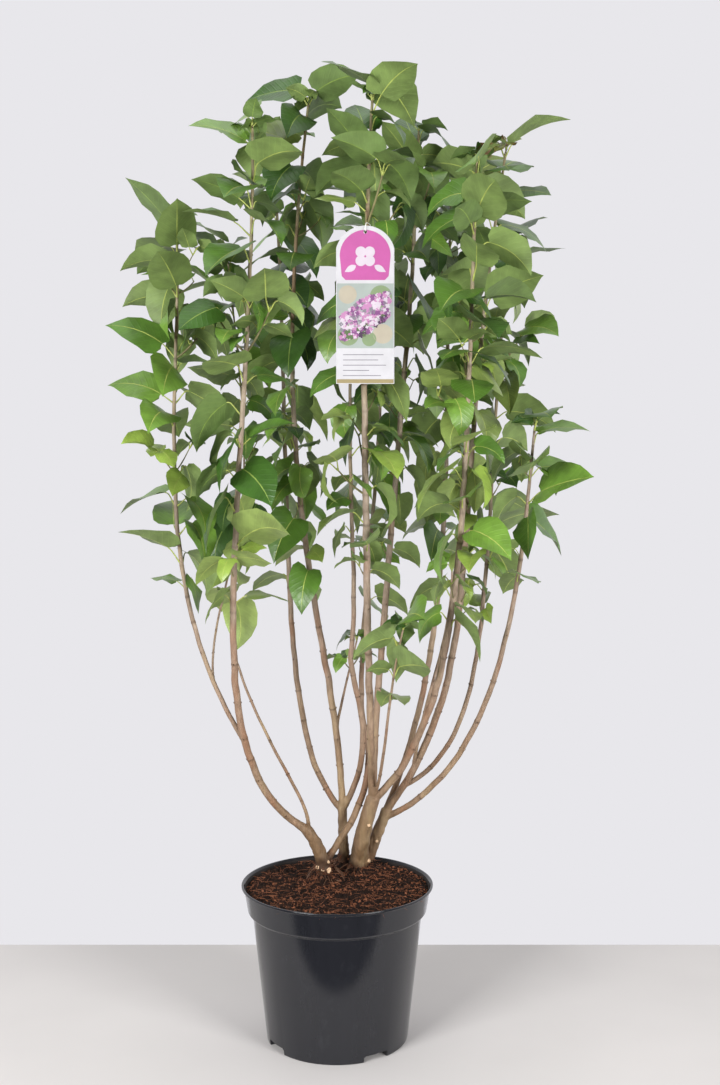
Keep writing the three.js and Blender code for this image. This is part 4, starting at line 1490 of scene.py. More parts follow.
STUB_WIDTHS = (1.25, 1.0)
SCAR = {"width": 0.86, "layers": (-2.5, 0.1, 0.35), "edge": 0.9, "ragged": 0.22, "grain": 3.5}
BOUGH_FOOT = {"reach": 78, "swell": (0.9, -0.5)}
EASE = {"factor": 0.6, "iterations": 5}
DIRT = {"left": 280, "right": 264, "split": 8, "ragged": 14, "grain": 8}
ROOTS = {
    "count": (46, 24, 24, 24), "rise": (24, 13, 13, 13), "reach": (9, 26), "turn": 45,
    "girth": (0.45, 1.3), "points": 7, "sunk": 1.5,
}


def trunk_parts(limbs, stems):
    """Tubes for the trunks, their stubs and the feet of the boughs, and where stubs are cut."""
    parts, scars = [], []
    for name, _, _, _, stubs in TRUNKS:
        limb = limbs[name]
        shares = np.linspace(TRUNK_START, 1.0, 30)
        parts.append(tube(limb.places(shares), limb.radius(shares), 20))
        for at, bearing, radius, reach in stubs:
            root, way = limb.place(at), tilted(bearing, STUB_RISE)
            steps = np.linspace(0, 1, 6)
            line = [root + way * reach * s for s in steps]
            parts.append(tube(line, [radius * mix(*STUB_WIDTHS, s) for s in steps], 14))
            scars.append((line[-1], way, radius * SCAR["width"]))
    for stem in stems:
        reach = min(1.0, BOUGH_FOOT["reach"] / stem.length)
        shares = np.linspace(0, reach, 16)
        radii = stem.radius(shares) + mix(*BOUGH_FOOT["swell"], shares / reach)
        parts.append(tube(stem.places(shares), radii, 14))
    return parts, scars


def fused(name, parts, pore):
    """One skin round overlapping tubes, with eased crotches."""
    piece = shape(name, *joined(parts))
    remesh = piece.modifiers.new("Union", "REMESH")
    remesh.mode = "VOXEL"
    remesh.voxel_size = pore
    ease = piece.modifiers.new("Ease", "SMOOTH")
    for key, value in EASE.items():
        setattr(ease, key, value)
    return settle(piece)


def rows_of(elements, field):
    """A vector of each of a mesh's elements, as rows."""
    values = np.empty(len(elements) * 3, np.float32)
    elements.foreach_get(field, values)
    return values.reshape(-1, 3)


def furrow(mesh, depth):
    """Push furrows and knobs into the bark, deepest low down; returns the moved points."""
    places = rows_of(mesh.vertices, "co")
    relief = np.empty(len(places), np.float32)
    for i, (x, y, z) in enumerate(places * 1000):
        low = max(0.0, min(1.0, (380 - z) / 70))
        furrows = abs(noise.noise(Vector((x / 4.2, y / 4.2, z / 17))))
        knobs = noise.noise(Vector((x / 11, y / 11, z / 13 + 4)))
        relief[i] = (0.35 + 0.65 * low) * (0.45 - 1.5 * furrows) + 1.5 * low * knobs
    places += rows_of(mesh.vertex_normals, "vector") * relief[:, None] * depth
    mesh.vertices.foreach_set("co", places.ravel())
    mesh.update()
    return places


def dirty_faces(mesh):
    """The faces at the trunks' feet that soil clings to, higher on the left."""
    faces = []
    for face in mesh.polygons:
        line = DIRT["left"] if face.center.x < DIRT["split"] * MM else DIRT["right"]
        line += DIRT["ragged"] * noise.noise(face.center / (DIRT["grain"] * MM))
        if face.center.z / MM < line:
            faces.append(tuple(face.vertices))
    return faces


def scar_disc(place, way, radius):
    """A thin ragged disc of bare wood."""
    widths = (radius, radius, radius * SCAR["edge"])
    vertices, faces = tube([place + way * s for s in SCAR["layers"]], widths, 22)
    ragged = SCAR["ragged"] * radius
    vertices = [
        v + ragged * np.array(noise.noise_vector(Vector(v / SCAR["grain"]))) for v in vertices
    ]
    return vertices, faces


def root_hair(number, i):
    """A fine root that leaves a trunk's foot and dips into the compost."""
    _, path, radii, flare, _ = TRUNKS[number]
    random = random_from(700 + 50 * number + i)
    bearing = 360 * (i + random()) / ROOTS["count"][number]
    start = np.array(path[0], float) + heading(bearing) * radii[0] * (0.96 + flare * 0.8)
    start[2] += mix(1, ROOTS["rise"][number], random() ** 1.5)
    out = mix(*ROOTS["reach"], random())
    turn = mix(-ROOTS["turn"], ROOTS["turn"], random())
    end = start + heading(bearing + turn) * out
    end[2] = soil_height(end[0], end[1]) - ROOTS["sunk"]
    middle = (start + end) / 2 + heading(bearing) * out * 0.15
    middle[2] = mix(start[2], end[2], 0.35)
    count = ROOTS["points"]
    line = [(1 - t) ** 2 * start + 2 * (1 - t) * t * middle + t * t * end
            for t in np.linspace(0, 1, count)]
    thick = mix(*ROOTS["girth"], random() ** 2)
    return line, {"girth": np.linspace(thick, thick * 0.4, count) * MM, "ring": np.zeros(count)}


class LILAC_OT_trunks(Maker, Operator):
    """Model the trunks with their root flare, stubs and the crotches where the boughs leave"""

    bl_idname = "lilac.trunks"
    bl_label = "Trunks"

    def make(self, lilac):
        settings = lilac.bark
        names = [row[0] for row in TRUNKS]
        parts, scars = trunk_parts(*plant(lilac.foliage.infill))
        trunks = fused("trunks", parts, settings.pore)
        places = furrow(trunks.data, settings.relief)
        wear_material(trunks, bark("trunk_bark", settings, 1.0))
        trunks.data.shade_smooth()
        finished(trunks, "bark", *names)

        ground = (places * 1000, dirty_faces(trunks.data))
        lump, hair = crumb_shape("lump", 5, 0.8), fibre_shape()
        coir = lilac.compost.coir
        strewn("trunk_crumbs", ground, lump, 70000, ((0.0018,) * 3, (0.0058, 0.005, 0.004)),
               crumb("trunk_dirt", darker(coir, 0.7)), 21)
        strewn("trunk_fibres", ground, hair, 26000, ((0.008,) * 3, (0.024,) * 3),
               crumb("trunk_hairs", darker(coir, 1.5)), 22)
        for single in (lump, hair):
            drop(single)

        discs = shape("cut_scars", *joined([scar_disc(*scar) for scar in scars]))
        wear_material(smooth(discs, 50), cut_wood(settings))
        finished(discs, "bark", *names[:3])

        hairs = [root_hair(k, i) for k, count in enumerate(ROOTS["count"]) for i in range(count)]
        roots = drawn("fine_roots", hairs, 6, 0.0, stalk_skin("root_skin", (104, 70, 48)))
        finished(roots, "bark", *names)


# Boughs

BARE = {"first": (70, 110), "step": (52, 84), "end": 12}
RING = {"width": 2.4, "samples": (-3.6, -1.7, 0, 1.7, 3.6), "least": 0.7, "fade": 37}
BUD = {"lean": (0.42, 0.91), "sunk": 0.97, "size": (0.95, 0.13), "tip_rise": 64, "tip_size": 2.2}
BUD_PROFILE = ((0, -0.5), (0.5, -0.3), (0.62, 0.15), (0.5, 0.75), (0.26, 1.35), (0, 1.8))
BOUGH_STEP = 6.0
WOBBLE = {"share": 0.3, "grain": 34}
TIP_GIRTH = 0.55


def bare_nodes(stem):
    """Fractions along the bare part of a stem where its buds stand, and their first bearing."""
    random = random_from(stem.seed * 77 + 5)
    nodes = []
    along = mix(*BARE["first"], random())
    while along < stem.length * stem.leafy - BARE["end"]:
        nodes.append(along / stem.length)
        along += mix(*BARE["step"], random())
    return nodes, random() * 180


def wood_tree(name, relief):
    """Tubes along lines, as thick as their girth, swollen at the rings and roughened."""
    tree, graph, given, result = geometry_tree(
        name, ("Sides", "Int"), ("Relief", "Float"), ("Swelling", "Float"),
        ("Material", "Material"))
    curve = graph.add("GeometryNodeMeshToCurve", {"Mesh": given["Geometry"]})
    profile = graph.add(
        "GeometryNodeCurvePrimitiveCircle", {"Resolution": given["Sides"], 4: 1.0})
    swell = graph.math("MULTIPLY_ADD", graph.read("ring"), given["Swelling"], 1.0)
    geometry = graph.add("GeometryNodeCurveToMesh", {
        "Curve": curve.outputs[0], "Profile Curve": profile.outputs[0],
        "Scale": graph.times(graph.read("girth"), swell), "Fill Caps": True,
    }).outputs[0]
    if relief:
        where = graph.add("GeometryNodeInputPosition").outputs[0]
        rough = graph.grain(graph.vector("MULTIPLY", where, (1, 1, 0.25)), 180, 3)
        height = graph.times(graph.minus(rough, 0.5), given["Relief"])
        height = graph.times(height, graph.times(graph.read("girth"), 200.0))
        push = graph.scaled(graph.add("GeometryNodeInputNormal").outputs[0], height)
        geometry = graph.add(
            "GeometryNodeSetPosition", {"Geometry": geometry, "Offset": push}).outputs[0]
    graph.put(result, graph.painted(graph.realized(geometry), given["Material"]))
    return tree


def drawn(name, runs, sides, swelling, material, relief=0.0):
    """Tubes along polylines, as one smooth piece."""
    piece = grown(name, lines(name, runs), wood_tree(f"Draw {name}", relief), {
        "Sides": sides, "Relief": relief, "Swelling": swelling, "Material": material,
    })
    piece.data.shade_smooth()
    return piece


def bud_tree():
    """Copies of one shape set on points, each along its own way and at its own size."""
    tree, graph, given, result = geometry_tree(
        "Set buds", ("Shape", "Object"), ("Material", "Material"))
    way = graph.read("way", "FLOAT_VECTOR")
    turn = graph.add("FunctionNodeAlignRotationToVector", {"Vector": way}, axis="Z")
    size = graph.read("size")
    copies = graph.copies(given["Geometry"], given["Shape"], Rotation=turn.outputs[0],
                          Scale=graph.xyz(size, size, size))
    graph.put(result, graph.painted(graph.realized(copies), given["Material"]))
    return tree


def bough_run(stem, bare):
    """A stem's line, a little crooked, with its girth and how much of a ring each point has."""
    marks = np.array(bare + stem.nodes)
    near = (marks[:, None] + np.array(RING["samples"])[None] / stem.length).ravel()
    even = np.linspace(0, 1, int(stem.length / BOUGH_STEP) + 1)
    shares = np.unique(np.concatenate((even, near[(near > 0) & (near < 1)])))
    shares = shares[np.append(True, np.diff(shares) > RING["least"] / stem.length)]
    places = stem.places(shares)
    radii = stem.radius(shares)
    offset = Vector((stem.seed, 0, 0))
    for place, radius in zip(places, radii):
        crook = noise.noise_vector(Vector(place / WOBBLE["grain"]) + offset)
        place += WOBBLE["share"] * radius * np.array(crook)
    if len(marks):
        away = np.abs(shares[:, None] - marks[None]).min(1) * stem.length
    else:
        away = np.full(len(shares), 99.0)
    strength = 0.55 + 0.45 * np.sin(shares * stem.length / RING["fade"] + stem.seed)
    girth = radii * MM
    girth[-1] *= TIP_GIRTH
    return places, {"girth": girth, "ring": np.exp(-(away / RING["width"]) ** 2) * strength}


def stem_buds(stem, bare, bearing):
    """Place, way and size of the paired buds on the bare part of a stem and at its tip."""
    buds = []
    for k, at in enumerate(bare):
        along, radius = stem.way(at), float(stem.radius(at))
        for way in (0, 180):
            out = tilted(bearing + 90 * k + way, 0)
            out -= along * out.dot(along)
            out /= np.linalg.norm(out)
            lean = out * BUD["lean"][0] + along * BUD["lean"][1]
            size = BUD["size"][0] + BUD["size"][1] * radius
            buds.append((stem.place(at) + out * radius * BUD["sunk"], lean, size))
    for way in (0, 180):
        buds.append((stem.place(1.0), tilted(bearing + way, BUD["tip_rise"]), BUD["tip_size"]))
    return buds


class LILAC_OT_boughs(Maker, Operator):
    """Draw the boughs and leafy stems as bark-covered tubes, and set paired buds at their nodes"""

    bl_idname = "lilac.boughs"
    bl_label = "Boughs and Buds"

    def make(self, lilac):
        _, stems = plant(lilac.foliage.infill)
        names = [f"bough_{stem.name}" for stem in stems]
        runs, buds = [], []
        for stem in stems:
            bare, bearing = bare_nodes(stem)
            runs.append(bough_run(stem, bare))
            buds += stem_buds(stem, bare, bearing)
        skin = bark("bough_bark", lilac.bark, 0.5)
        boughs = drawn("boughs_and_stems", runs, 12, 0.1, skin, 1.1 * MM)
        finished(boughs, "bark", *names)

        bud = shape("bud", *lathe(BUD_PROFILE, 6))
        bud.data.transform(Matrix.Diagonal((1 / MM, 1 / MM, 1 / MM, 1)))
        places, ways, sizes = (np.array(values) for values in zip(*buds))
        source = shape("bud_places", places, [])
        give(source, {"way": ways, "size": sizes * MM})
        set_buds = grown("buds", source, bud_tree(), {
            "Shape": bud, "Material": stalk_skin("bud_scales", (96, 70, 50)),
        })
        drop(bud)
        set_buds.data.shade_smooth()
        finished(set_buds, "bark", *names)


# Foliage

BLADE_ROWS = (  # share of the length, half width, how far the edge lies back
    (0.0, 0.3, 0.05), (0.06, 0.74, 0.085), (0.18, 0.96, 0.07), (0.34, 1.0, 0.045),
    (0.52, 0.89, 0.025), (0.69, 0.63, 0.01), (0.85, 0.28, 0.0), (0.94, 0.09, 0.0),
)
BLADE_COLUMNS = (-1, -0.55, -0.028, 0.028, 0.55, 1)
RIB_COLUMN = 2
TIP_ROWS = 2
UPPER, UNDER, RIB, TIP = range(4)
YOUNG_TONE, SCORCHED_TONE = 5, 6
# Dealt by place, the tones paint shade and light: darker at the stems' tips and inside the crown,
# lighter low down and at the crown's edge.
DEALT = {  # tones of the leaves at the tips, small ones, low ones, and inside the crown or out
    "tip": (1, 2, 3, 1, 1, 2), "small": (3,), "low": (1, 2, 3, 3, 3, 4, 5, 2, 3, 5),
    "inner": (0, 0, 1, 1, 2, 2, 0, 1, 2, 3), "outer": (0, 1, 2, 2, 2, 3, 3, 4, 2, 1),
}
FEWEST_LEAVES = 300
LEAF_FOLD = (-8, 28)
LEAF_SEED = 4000
STALK_GIRTHS = (1.7, 1.3, 1.15, 1.05, 1.0, 0.9)
STALK_POINTS = (0, 0.2, 0.45, 0.7, 0.88, 1)


def blade_points(work):
    """Points of the blade's upper and lower skin, row by row; they share the foot and the edge."""
    edges = (0, len(BLADE_COLUMNS) - 1)
    rows = []
    for k, (share, half, back) in enumerate(BLADE_ROWS):
        shared = [k == 0 or i in edges for i in range(len(BLADE_COLUMNS))]
        upper, under = [], []
        for sign, row in ((1, upper), (-1, under)):
            for i, u in enumerate(BLADE_COLUMNS):
                if sign < 0 and shared[i]:
                    row.append(upper[i])
                    continue
                depth = 0 if shared[i] else sign * (1 - 0.5 * abs(u))
                row.append(work.verts.new((u * half, share - back * abs(u) ** 1.6, depth)))
        rows.append((upper, under))
    return rows


def blade_shape():
    """One heart-shaped blade, a thin closed lens, with its own coordinates kept for laying it."""
    work = bmesh.new()
    uv = work.loops.layers.uv.new("UVMap")
    side = work.faces.layers.int.new("side")
    rows = blade_points(work)
    tip = work.verts.new((0, 1, 0))
    below = set()
    for k, row in enumerate(rows):
        for level, kind in enumerate((UPPER, UNDER)):
            for i in range(len(BLADE_COLUMNS) - 1):
                low = row[level][i:i + 2]
                high = [tip] if k + 1 == len(rows) else rows[k + 1][level][i:i + 2][::-1]
                corners = [*low, *high]
                face = work.faces.new([corners[0], *corners[:0:-1]] if level else corners)
                face.smooth = True
                face[side] = kind
                if i == RIB_COLUMN and k < len(rows) - 1:
                    face[side] = RIB
                elif kind == UPPER and k >= len(rows) - TIP_ROWS:
                    face[side] = TIP
                if level:
                    below.add(face)
                for loop in face.loops:
                    x, y, _ = loop.vert.co
                    loop[uv].uv = (0.5 + 0.5 * x, y)
    for edge in work.edges:
        edge.smooth = len({face in below for face in edge.link_faces}) == 1
    piece = from_work("blade", work)
    give(piece, {"blade": np.array([v.co[:] for v in piece.data.vertices])})
    return piece


def blade_tree(looks):
    """Lays a blade at every point by its own heading, pitch, bend, roll and size."""
    tree, graph, given, result = geometry_tree(
        "Lay blades", ("Blade", "Object"), ("Ripple", "Float"), ("Thickness", "Float"))
    real = graph.realized(graph.copies(given["Geometry"], given["Blade"]))
    sin, cos = (functools.partial(graph.math, name) for name in ("SINE", "COSINE"))
    plus, minus, times, scaled = graph.plus, graph.minus, graph.times, graph.scaled
    cross = functools.partial(graph.vector, "CROSS_PRODUCT")
    x, share, depth = graph.split(graph.read("blade", "FLOAT_VECTOR"))
    bearing, pitch, bend, roll, size, half, phase, fold = (graph.read(name) for name in (
        "heading", "pitch", "bend", "roll", "length", "half", "phase", "fold"))
    angle = minus(pitch, times(bend, share))
    sweep = graph.math("DIVIDE", size, bend)
    out = times(sweep, minus(sin(pitch), sin(angle)))
    rise = times(sweep, minus(cos(angle), cos(pitch)))
    along = graph.xyz(cos(bearing), sin(bearing), 0.0)
    level = graph.xyz(times(sin(bearing), -1.0), cos(bearing), 0.0)
    way = graph.joined(scaled(along, cos(angle)), graph.xyz(0.0, 0.0, sin(angle)))
    side = graph.joined(scaled(level, cos(roll)), scaled(cross(way, level), sin(roll)))
    reach = graph.math("ABSOLUTE", x)
    turn = times(fold, minus(1.25, times(reach, 0.45)))
    aside = times(x, half, cos(turn))
    lift = times(reach, half, sin(turn))
    wave = sin(plus(times(share, 8.5), phase, times(x, 1.4)))
    wave = times(wave, given["Ripple"], times(reach, reach))
    body = times(depth, times(given["Thickness"], 0.5))
    place = graph.joined(
        graph.read("foot", "FLOAT_VECTOR"), scaled(along, out), graph.xyz(0.0, 0.0, rise),
        scaled(side, aside), scaled(cross(way, side), plus(lift, wave, body)),
    )
    laid = graph.add("GeometryNodeSetPosition", {"Geometry": real, "Position": place}).outputs[0]
    tone, kind = graph.read("tone", "INT"), graph.read("side", "INT")
    for number, part, material in looks:
        chosen = graph.both(graph.equal(tone, number), graph.equal(kind, part))
        laid = graph.painted(laid, material, chosen)
    graph.put(result, laid)
    return tree


def blade_looks():
    """Tone, part of the blade and material, for every part of every tone."""
    under = {name: leaf_surface(f"underside_{name}", shade, 0.6, 0.3, name == "burnt")
             for name, shade in UNDERSIDES.items()}
    ribs = {name: stalk_skin(name, shade) for name, shade in RIBS.items()}
    looks = []
    for number, (name, shade, below, rib) in enumerate(TONES):
        upper = leaf_surface(f"leaf_{name}", shade, 0.34, 0.35, name == "scorched")
        looks += [(number, UPPER, upper), (number, TIP, upper), (number, UNDER, under[below]),
                  (number, RIB, ribs[rib])]
    looks.append((SCORCHED_TONE, TIP, leaf_surface("leaf_scorch", SCORCH, 0.8, 0.6)))
    return looks


def tone_of(leaf, random):
    """The number of the tone dealt to a leaf: darker inside the crown and at the stems' tips as
    painted shade, lighter low down and at its edge as painted light.
    """
    x, y, z = leaf["widest"]
    out = math.hypot(x - 30, (y - 30) * 1.25) / 270
    draw = random()
    if z > 1395 and 225 < x < 420 and draw < 0.7:
        return SCORCHED_TONE
    if 820 < z < 985 and 130 < x < 260 and y < 40 and draw < 0.5:
        return YOUNG_TONE
    if leaf["share"] > 0.93:
        tones = DEALT["tip"]
    elif leaf["scale"] < 0.55 and draw < 0.4:
        tones = DEALT["small"]
    elif z < 1150 and (out > 0.45 or z < 950):
        tones = DEALT["low"]
    elif out < 0.5:
        tones = DEALT["inner"]
    else:
        tones = DEALT["outer"]
    return tones[int(draw * len(tones))]


def stalk_run(leaf):
    """A leaf stalk that leaves the wood along its own way and meets the blade's."""
    blade_way = tilted(math.degrees(leaf["bearing"]), math.degrees(leaf["pitch"]))
    start = leaf["root"] + leaf["stalk_way"] * max(0.0, leaf["root_radius"] - 1.0)
    end = leaf["foot"]
    reach = np.linalg.norm(end - start)
    a = start + leaf["stalk_way"] * reach * 0.45
    b = end - blade_way * reach * 0.3
    line = [(1 - t) ** 3 * start + 3 * (1 - t) ** 2 * t * a + 3 * (1 - t) * t * t * b + t ** 3 * end
            for t in STALK_POINTS]
    girth = np.array(STALK_GIRTHS) * MM * (0.6 + 0.4 * leaf["scale"])
    return line, {"girth": girth, "ring": np.zeros(len(line))}


def twig_run(root, end, radius):
    """A twig that sags a little and has one ring."""
    shares = np.linspace(0, 1, 7)
    sag = np.array((0, 0, -0.06 * np.linalg.norm(end - root)))
    places = [mix(root, end, s) + sag * math.sin(math.pi * s) for s in shares]
    girth = radius * mix(1.15, 0.75, shares) * MM
    return places, {"girth": girth, "ring": np.exp(-((shares - 0.55) / 0.08) ** 2)}


class LILAC_OT_foliage(Maker, Operator):
    """Grow the twigs, leaf stalks and leaves on the stems"""

    bl_idname = "lilac.foliage"
    bl_label = "Foliage"

    def make(self, lilac):
        settings = lilac.foliage
        _, stems = plant(settings.infill)
        masses = [f"leaves_{stem.name}" for stem in stems if stem.leafy < 1]
        leaves = [leaf for stem in stems for leaf in stem.leaves]
        if len(leaves) < FEWEST_LEAVES:
            raise RuntimeError("too few leaves grew")

        dealt = []
        for i, leaf in enumerate(leaves):
            random = random_from(LEAF_SEED + i)
            dealt.append((tone_of(leaf, random), random() * math.tau,
                          math.radians(mix(*LEAF_FOLD, random()))))
        tones, phases, folds = zip(*dealt)
        columns = {key: np.array([leaf[key] for leaf in leaves])
                   for key in ("foot", "bearing", "pitch", "bend", "roll", "length", "half")}
        columns["heading"] = columns.pop("bearing")
        columns["foot"] = columns["foot"] * MM
        columns["length"] = columns["length"] * MM
        columns["half"] = columns["half"] * MM * settings.width
        source = shape("leaf_feet", [leaf["foot"] for leaf in leaves], [])
        give(source, {**columns, "phase": phases, "fold": folds, "tone": np.array(tones, int)})
        blade = blade_shape()
        blades = grown("leaves", source, blade_tree(blade_looks()), {
            "Blade": blade, "Ripple": settings.ripple, "Thickness": settings.thickness,
        })
        drop(blade)
        finished(blades, "foliage", *masses)

        stalks = [stalk_run(leaf) for leaf in leaves]
        skin = stalk_skin("stalk_skin", (166, 176, 88))
        finished(drawn("leaf_stalks", stalks, 5, 0.0, skin), "foliage", *masses)
        twigs = [twig_run(*twig) for stem in stems for twig in stem.twigs]
        skin = stalk_skin("twig_skin", (124, 118, 78))
        finished(drawn("twigs", twigs, 7, 0.25, skin), "foliage", *masses)


# Tag

OTHER_INKS = {
    "white": (192, 182, 192), "leaf": (83, 101, 67), "rule": (121, 118, 126),
    "green": (121, 139, 104), "cream": (167, 159, 142), "dusk": (70, 52, 73),
}
BADGE = {"foot": ((-36, 44), (-30, 38), (30, 38), (36, 44)), "radius": 39, "centre": 75}
BLOTCHES = (  # x, y, radius and ink of the soft patches behind the blossoms
    (24, 13, 17, "green"), (-27, 16, 14, "cream"), (-26, -46, 16, "green"), (27, -44, 15, "cream"),
    (6, -52, 11, "green"),
)
BLOSSOMS = {"count": 430, "seed": 91, "across": 38, "size": (2.6, 4.4)}
BLOSSOM_INKS = ("lilac", "pink", "pink", "white", "rule", "pink", "white", "lilac")
SHADOW_INKS = ("dusk", "lilac", "leaf")
PANEL = (-66, 33)
EDGE_HEIGHT = 6
RULES = {"widths": (62, 54, 66, 40, 58), "left": -34, "first": -76, "step": 8, "half": 0.6}
SWING = {"depth": 3.2, "from": 60, "reach": 120, "bow": 0.9, "half": 44}
THREAD_STEPS = 8


def tag_outline():
    half, top, arc = TAG["width"] / 2, TAG["height"] / 2, TAG["arc_radius"]
    start = math.asin(half / arc)
    angles = np.linspace(math.pi / 2 - start, math.pi / 2 + start, 48)
    points = [(-half, -top), (half, -top)]
    return points + [(arc * math.cos(a), top - arc + arc * math.sin(a)) for a in angles]


def disc(x, y, radius, sides=24):
    angles = [math.tau * i / sides for i in range(sides)]
    return [(x + radius * math.cos(a), y + radius * math.sin(a)) for a in angles]


def slab(outline, holes, front, back):
    """A thin plate standing across Y, from a flat outline with holes, closed all round."""
    loops = [outline, *holes]
    points = [p for loop in loops for p in loop]
    count = len(points)
    vertices = [(x, depth, y) for depth in (front, back) for x, y in points]
    faces = []
    for a, b, c in tessellate_polygon([[Vector((x, y, 0)) for x, y in loop] for loop in loops]):
        faces.append((a, b, c))
        faces.append((c + count, b + count, a + count))
    start = 0
    for loop in loops:
        for i in range(len(loop)):
            a, b = start + i, start + (i + 1) % len(loop)
            faces.append((a, a + count, b + count, b))
        start += len(loop)
    return vertices, faces


def box_outline(left, low, right, high):
    return [(left, low), (right, low), (right, high), (left, high)]


def four_petals(x, y, size, turn):
    """The outline of a small flower with four rounded petals."""
    points = []
    for i in range(16):
        angle = math.tau * i / 16
        reach = size * (0.62 + 0.38 * abs(math.cos(2 * angle)) ** 0.8)
        points.append((x + reach * math.cos(angle + turn), y + reach * math.sin(angle + turn)))
    return points


def sprig_leaf(x, y, reach, turn):
    """The outline of a pointed leaf."""
    half = 0.24 * reach
    right = [(s * reach, half * math.sin(math.pi * s ** 0.8)) for s in np.linspace(0, 1, 9)]
    left = [(px, -py) for px, py in reversed(right[1:-1])]
    cosine, sine = math.cos(turn), math.sin(turn)
    return [(x + px * cosine - py * sine, y + px * sine + py * cosine) for px, py in right + left]


def prints(hole):
    """Outline, ink, layer and holes of everything printed on the card."""
    half, top = TAG["width"] / 2 - 1, TAG["height"] / 2 - 1
    radius, centre = BADGE["radius"], BADGE["centre"]
    arch = [*BADGE["foot"]]
    arch += [(radius * math.cos(a), centre + radius * math.sin(a))
             for a in np.linspace(0, math.pi, 33)]
    yield arch, "badge", 1, [disc(*hole, TAG["hole_radius"] + 0.3, 20)]
    yield box_outline(-half, PANEL[0], half, PANEL[1]), "panel", 1, ()
    yield box_outline(-half, -top, half, -top + EDGE_HEIGHT), "edge", 1, ()
    for turn in (0.25, 0.75, 1.25, 1.75):
        x, y = 9.5 * math.cos(turn * math.pi), 74 + 9.5 * math.sin(turn * math.pi)
        yield disc(x, y, 8.2, 20), "white", 2, ()
    for turn, x in ((0.16, 14), (0.84, -14)):
        yield sprig_leaf(x, 60, 20, -turn * math.pi), "white", 2, ()
    for x, y, size, ink in BLOTCHES:
        yield disc(x, y, size, 28), ink, 1.4, ()
    random = random_from(BLOSSOMS["seed"])
    for i in range(BLOSSOMS["count"]):
        x = mix(-BLOSSOMS["across"], BLOSSOMS["across"], random())
        across = mix(-1, 1, random())
        y = -17 + 0.5 * x + across * (30 - 0.3 * abs(x))
        size = mix(*BLOSSOMS["size"], random())
        draw = random()
        ink = BLOSSOM_INKS[int(draw * 8)]
        if across <= -0.45 and draw >= 0.5:
            ink = SHADOW_INKS[int(draw * 6) - 3]
        if abs(x) <= half - 5 and -61 < y < 28:
            yield four_petals(x, y, size, random() * 1.5), ink, 2 + (i % 9) * 0.25, ()
    for k, width in enumerate(RULES["widths"]):
        y = RULES["first"] - k * RULES["step"]
        left, tall = RULES["left"], RULES["half"]
        yield box_outline(left, y - tall, left + width, y + tall), "rule", 1, ()


def bow(tag):
    """Bend the card a little, so that its lower end swings forward, and hang it in its place."""
    work = bmesh.new()
    work.from_mesh(tag.data)
    for axis, cuts in ((0, range(-36, 40, 12)), (2, range(-112, 61, 10))):
        for cut in cuts:
            place, way = Vector((0, 0, 0)), Vector((0, 0, 0))
            place[axis], way[axis] = cut * MM, 1
            bmesh.ops.bisect_plane(work, geom=[*work.verts, *work.edges, *work.faces], dist=1e-7,
                                   plane_co=place, plane_no=way)
    centre = Vector(TAG["centre"])
    for vertex in work.verts:
        x, y, z = vertex.co / MM
        swing = SWING["depth"] * (max(0.0, SWING["from"] - z) / SWING["reach"]) ** 2
        bend = Vector((0, SWING["bow"] * (x / SWING["half"]) ** 2 - swing, 0))
        vertex.co = (Vector((x, y, z)) + bend + centre) * MM
    work.to_mesh(tag.data)
    work.free()


def tie_loop(stem):
    """The corners that the thread runs through: the tag's hole, round the stem and back."""
    x, y, z = TAG["centre"]
    eye = np.array((x, y, z + TAG["height"] / 2 - TAG["hole_drop"]), float)
    places = stem.places(mix(stem.leafy, 1, np.arange(SAMPLES + 1) / SAMPLES))
    behind = places[np.abs(places[:, 2] - eye[2] - TIE["stem_rise"]).argmin()]
    seat = eye + np.array((0, 0, TAG["hole_radius"] - TIE["radius"] - TIE["gap"]))
    loop = [seat + TIE["before_hole"], seat + TIE["behind_hole"]]
    for across, back, rise in TIE["round_stem"]:
        point = behind + np.array((across, back, 0)) * TIE["stem_clear"]
        point[2] = eye[2] + rise
        loop.append(point)
    return loop + [eye + offset for offset in TIE["over_tag"]]


def rounded(loop):
    """Points of a smooth closed curve through the corners of a loop."""
    points = []
    for i in range(len(loop)):
        a, b, c, d = (loop[(i + k - 1) % len(loop)] for k in range(4))
        for t in np.arange(THREAD_STEPS) / THREAD_STEPS:
            square, cube = 2 * a - 5 * b + 4 * c - d, 3 * b - a - 3 * c + d
            points.append(0.5 * (2 * b + (c - a) * t + square * t * t + cube * t ** 3))
    return points


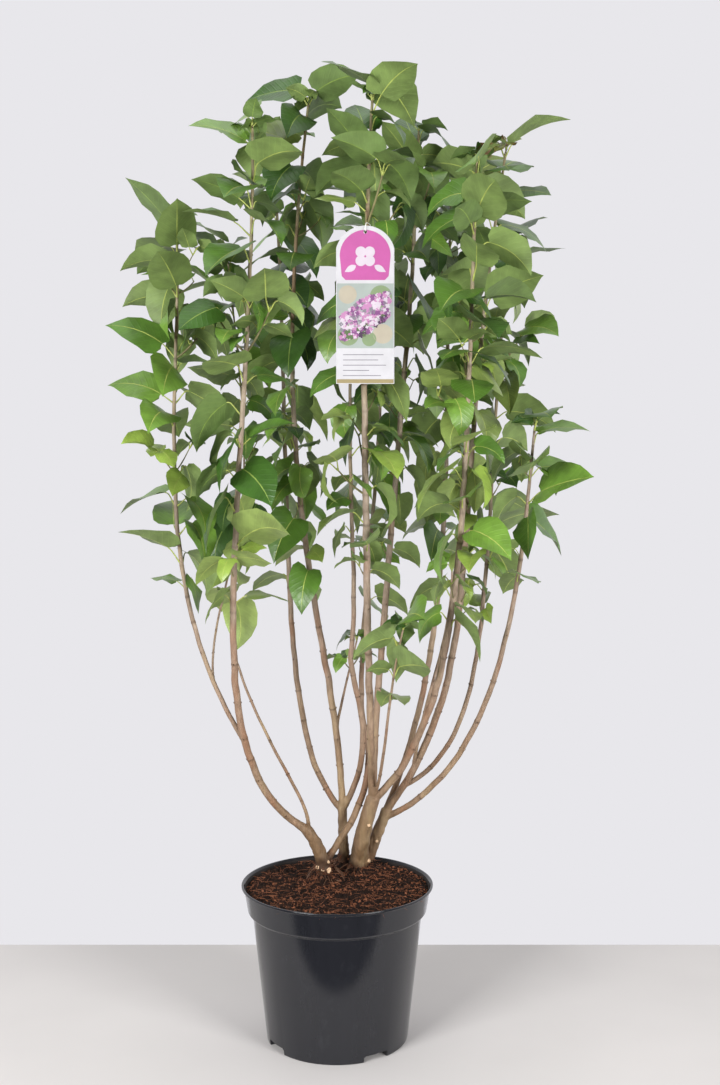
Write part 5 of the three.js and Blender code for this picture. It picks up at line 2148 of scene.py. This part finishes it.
class LILAC_OT_tag(Maker, Operator):
    """Print the hang tag's card and thread its tie round the middle stem"""

    bl_idname = "lilac.tag"
    bl_label = "Tag"

    def make(self, lilac):
        limbs, _ = plant(lilac.foliage.infill)
        inks = {name: tuple(getattr(lilac.tag, name)) for name in LilacTag.__annotations__}
        inks.update((name, linear(*shade)) for name, shade in OTHER_INKS.items())
        numbers = {name: k for k, name in enumerate(inks)}
        hole = (0, TAG["height"] / 2 - TAG["hole_drop"])
        face = -TAG["thickness"] / 2
        parts = [slab(tag_outline(), [disc(*hole, TAG["hole_radius"], 20)], face, -face)]
        owners = [numbers["card"]] * len(parts[0][1])
        for outline, ink, layer, holes in prints(hole):
            made = slab(outline, holes, face - 0.05 * layer, face + 0.2)
            parts.append(made)
            owners += [numbers[ink]] * len(made[1])
        tag = shape("hang_tag", *joined(parts))
        for name, shade in inks.items():
            tag.data.materials.append(print_ink(f"tag_{name}", shade))
        tag.data.polygons.foreach_set("material_index", owners)
        bow(tag)
        finished(tag, "tag", "tag")

        thread = rounded(tie_loop(limbs["centre_front"]))
        count = len(thread)
        source = shape("thread", thread, [], [(i, (i + 1) % count) for i in range(count)])
        give(source, {"girth": np.full(count, TIE["radius"] * MM), "ring": np.zeros(count)})
        tie = grown("tag_thread", source, wood_tree("Draw thread", 0.0), {
            "Sides": 8, "Swelling": 0.0,
            "Material": print_ink("tie_thread", linear(238, 238, 234), 0.5),
        })
        tie.data.shade_smooth()
        finished(tie, "tie", "tag_tie")


# Sidebar

OPERATORS = (
    LILAC_OT_stage, LILAC_OT_pot, LILAC_OT_compost, LILAC_OT_trunks, LILAC_OT_boughs,
    LILAC_OT_foliage, LILAC_OT_tag,
)


class VIEW3D_PT_lilac(Panel):
    """The lilac's parts and their settings"""

    bl_label = "Potted Lilac"
    bl_idname = "VIEW3D_PT_lilac"
    bl_space_type = "VIEW_3D"
    bl_region_type = "UI"
    bl_category = "Lilac"

    def draw(self, context):
        for operator in OPERATORS:
            self.layout.operator(operator.bl_idname)
        for name in LilacSettings.__annotations__:
            group = getattr(context.scene.lilac, name)
            box = self.layout.box()
            box.label(text=name.title())
            for key in group.__annotations__:
                box.prop(group, key)


CLASSES = (
    LilacStage, LilacPot, LilacCompost, LilacBark, LilacFoliage, LilacTag, LilacSettings,
    *OPERATORS, VIEW3D_PT_lilac,
)


def register():
    for each in CLASSES:
        bpy.utils.register_class(each)
    bpy.types.Scene.lilac = PointerProperty(type=LilacSettings)


def unregister():
    del bpy.types.Scene.lilac
    for each in reversed(CLASSES):
        bpy.utils.unregister_class(each)


def main():
    register()
    bpy.ops.lilac.stage()
    bpy.ops.lilac.pot()
    bpy.ops.lilac.compost()
    bpy.ops.lilac.trunks()
    bpy.ops.lilac.boughs()
    bpy.ops.lilac.foliage()
    bpy.ops.lilac.tag()


if __name__ == "__main__":
    main()
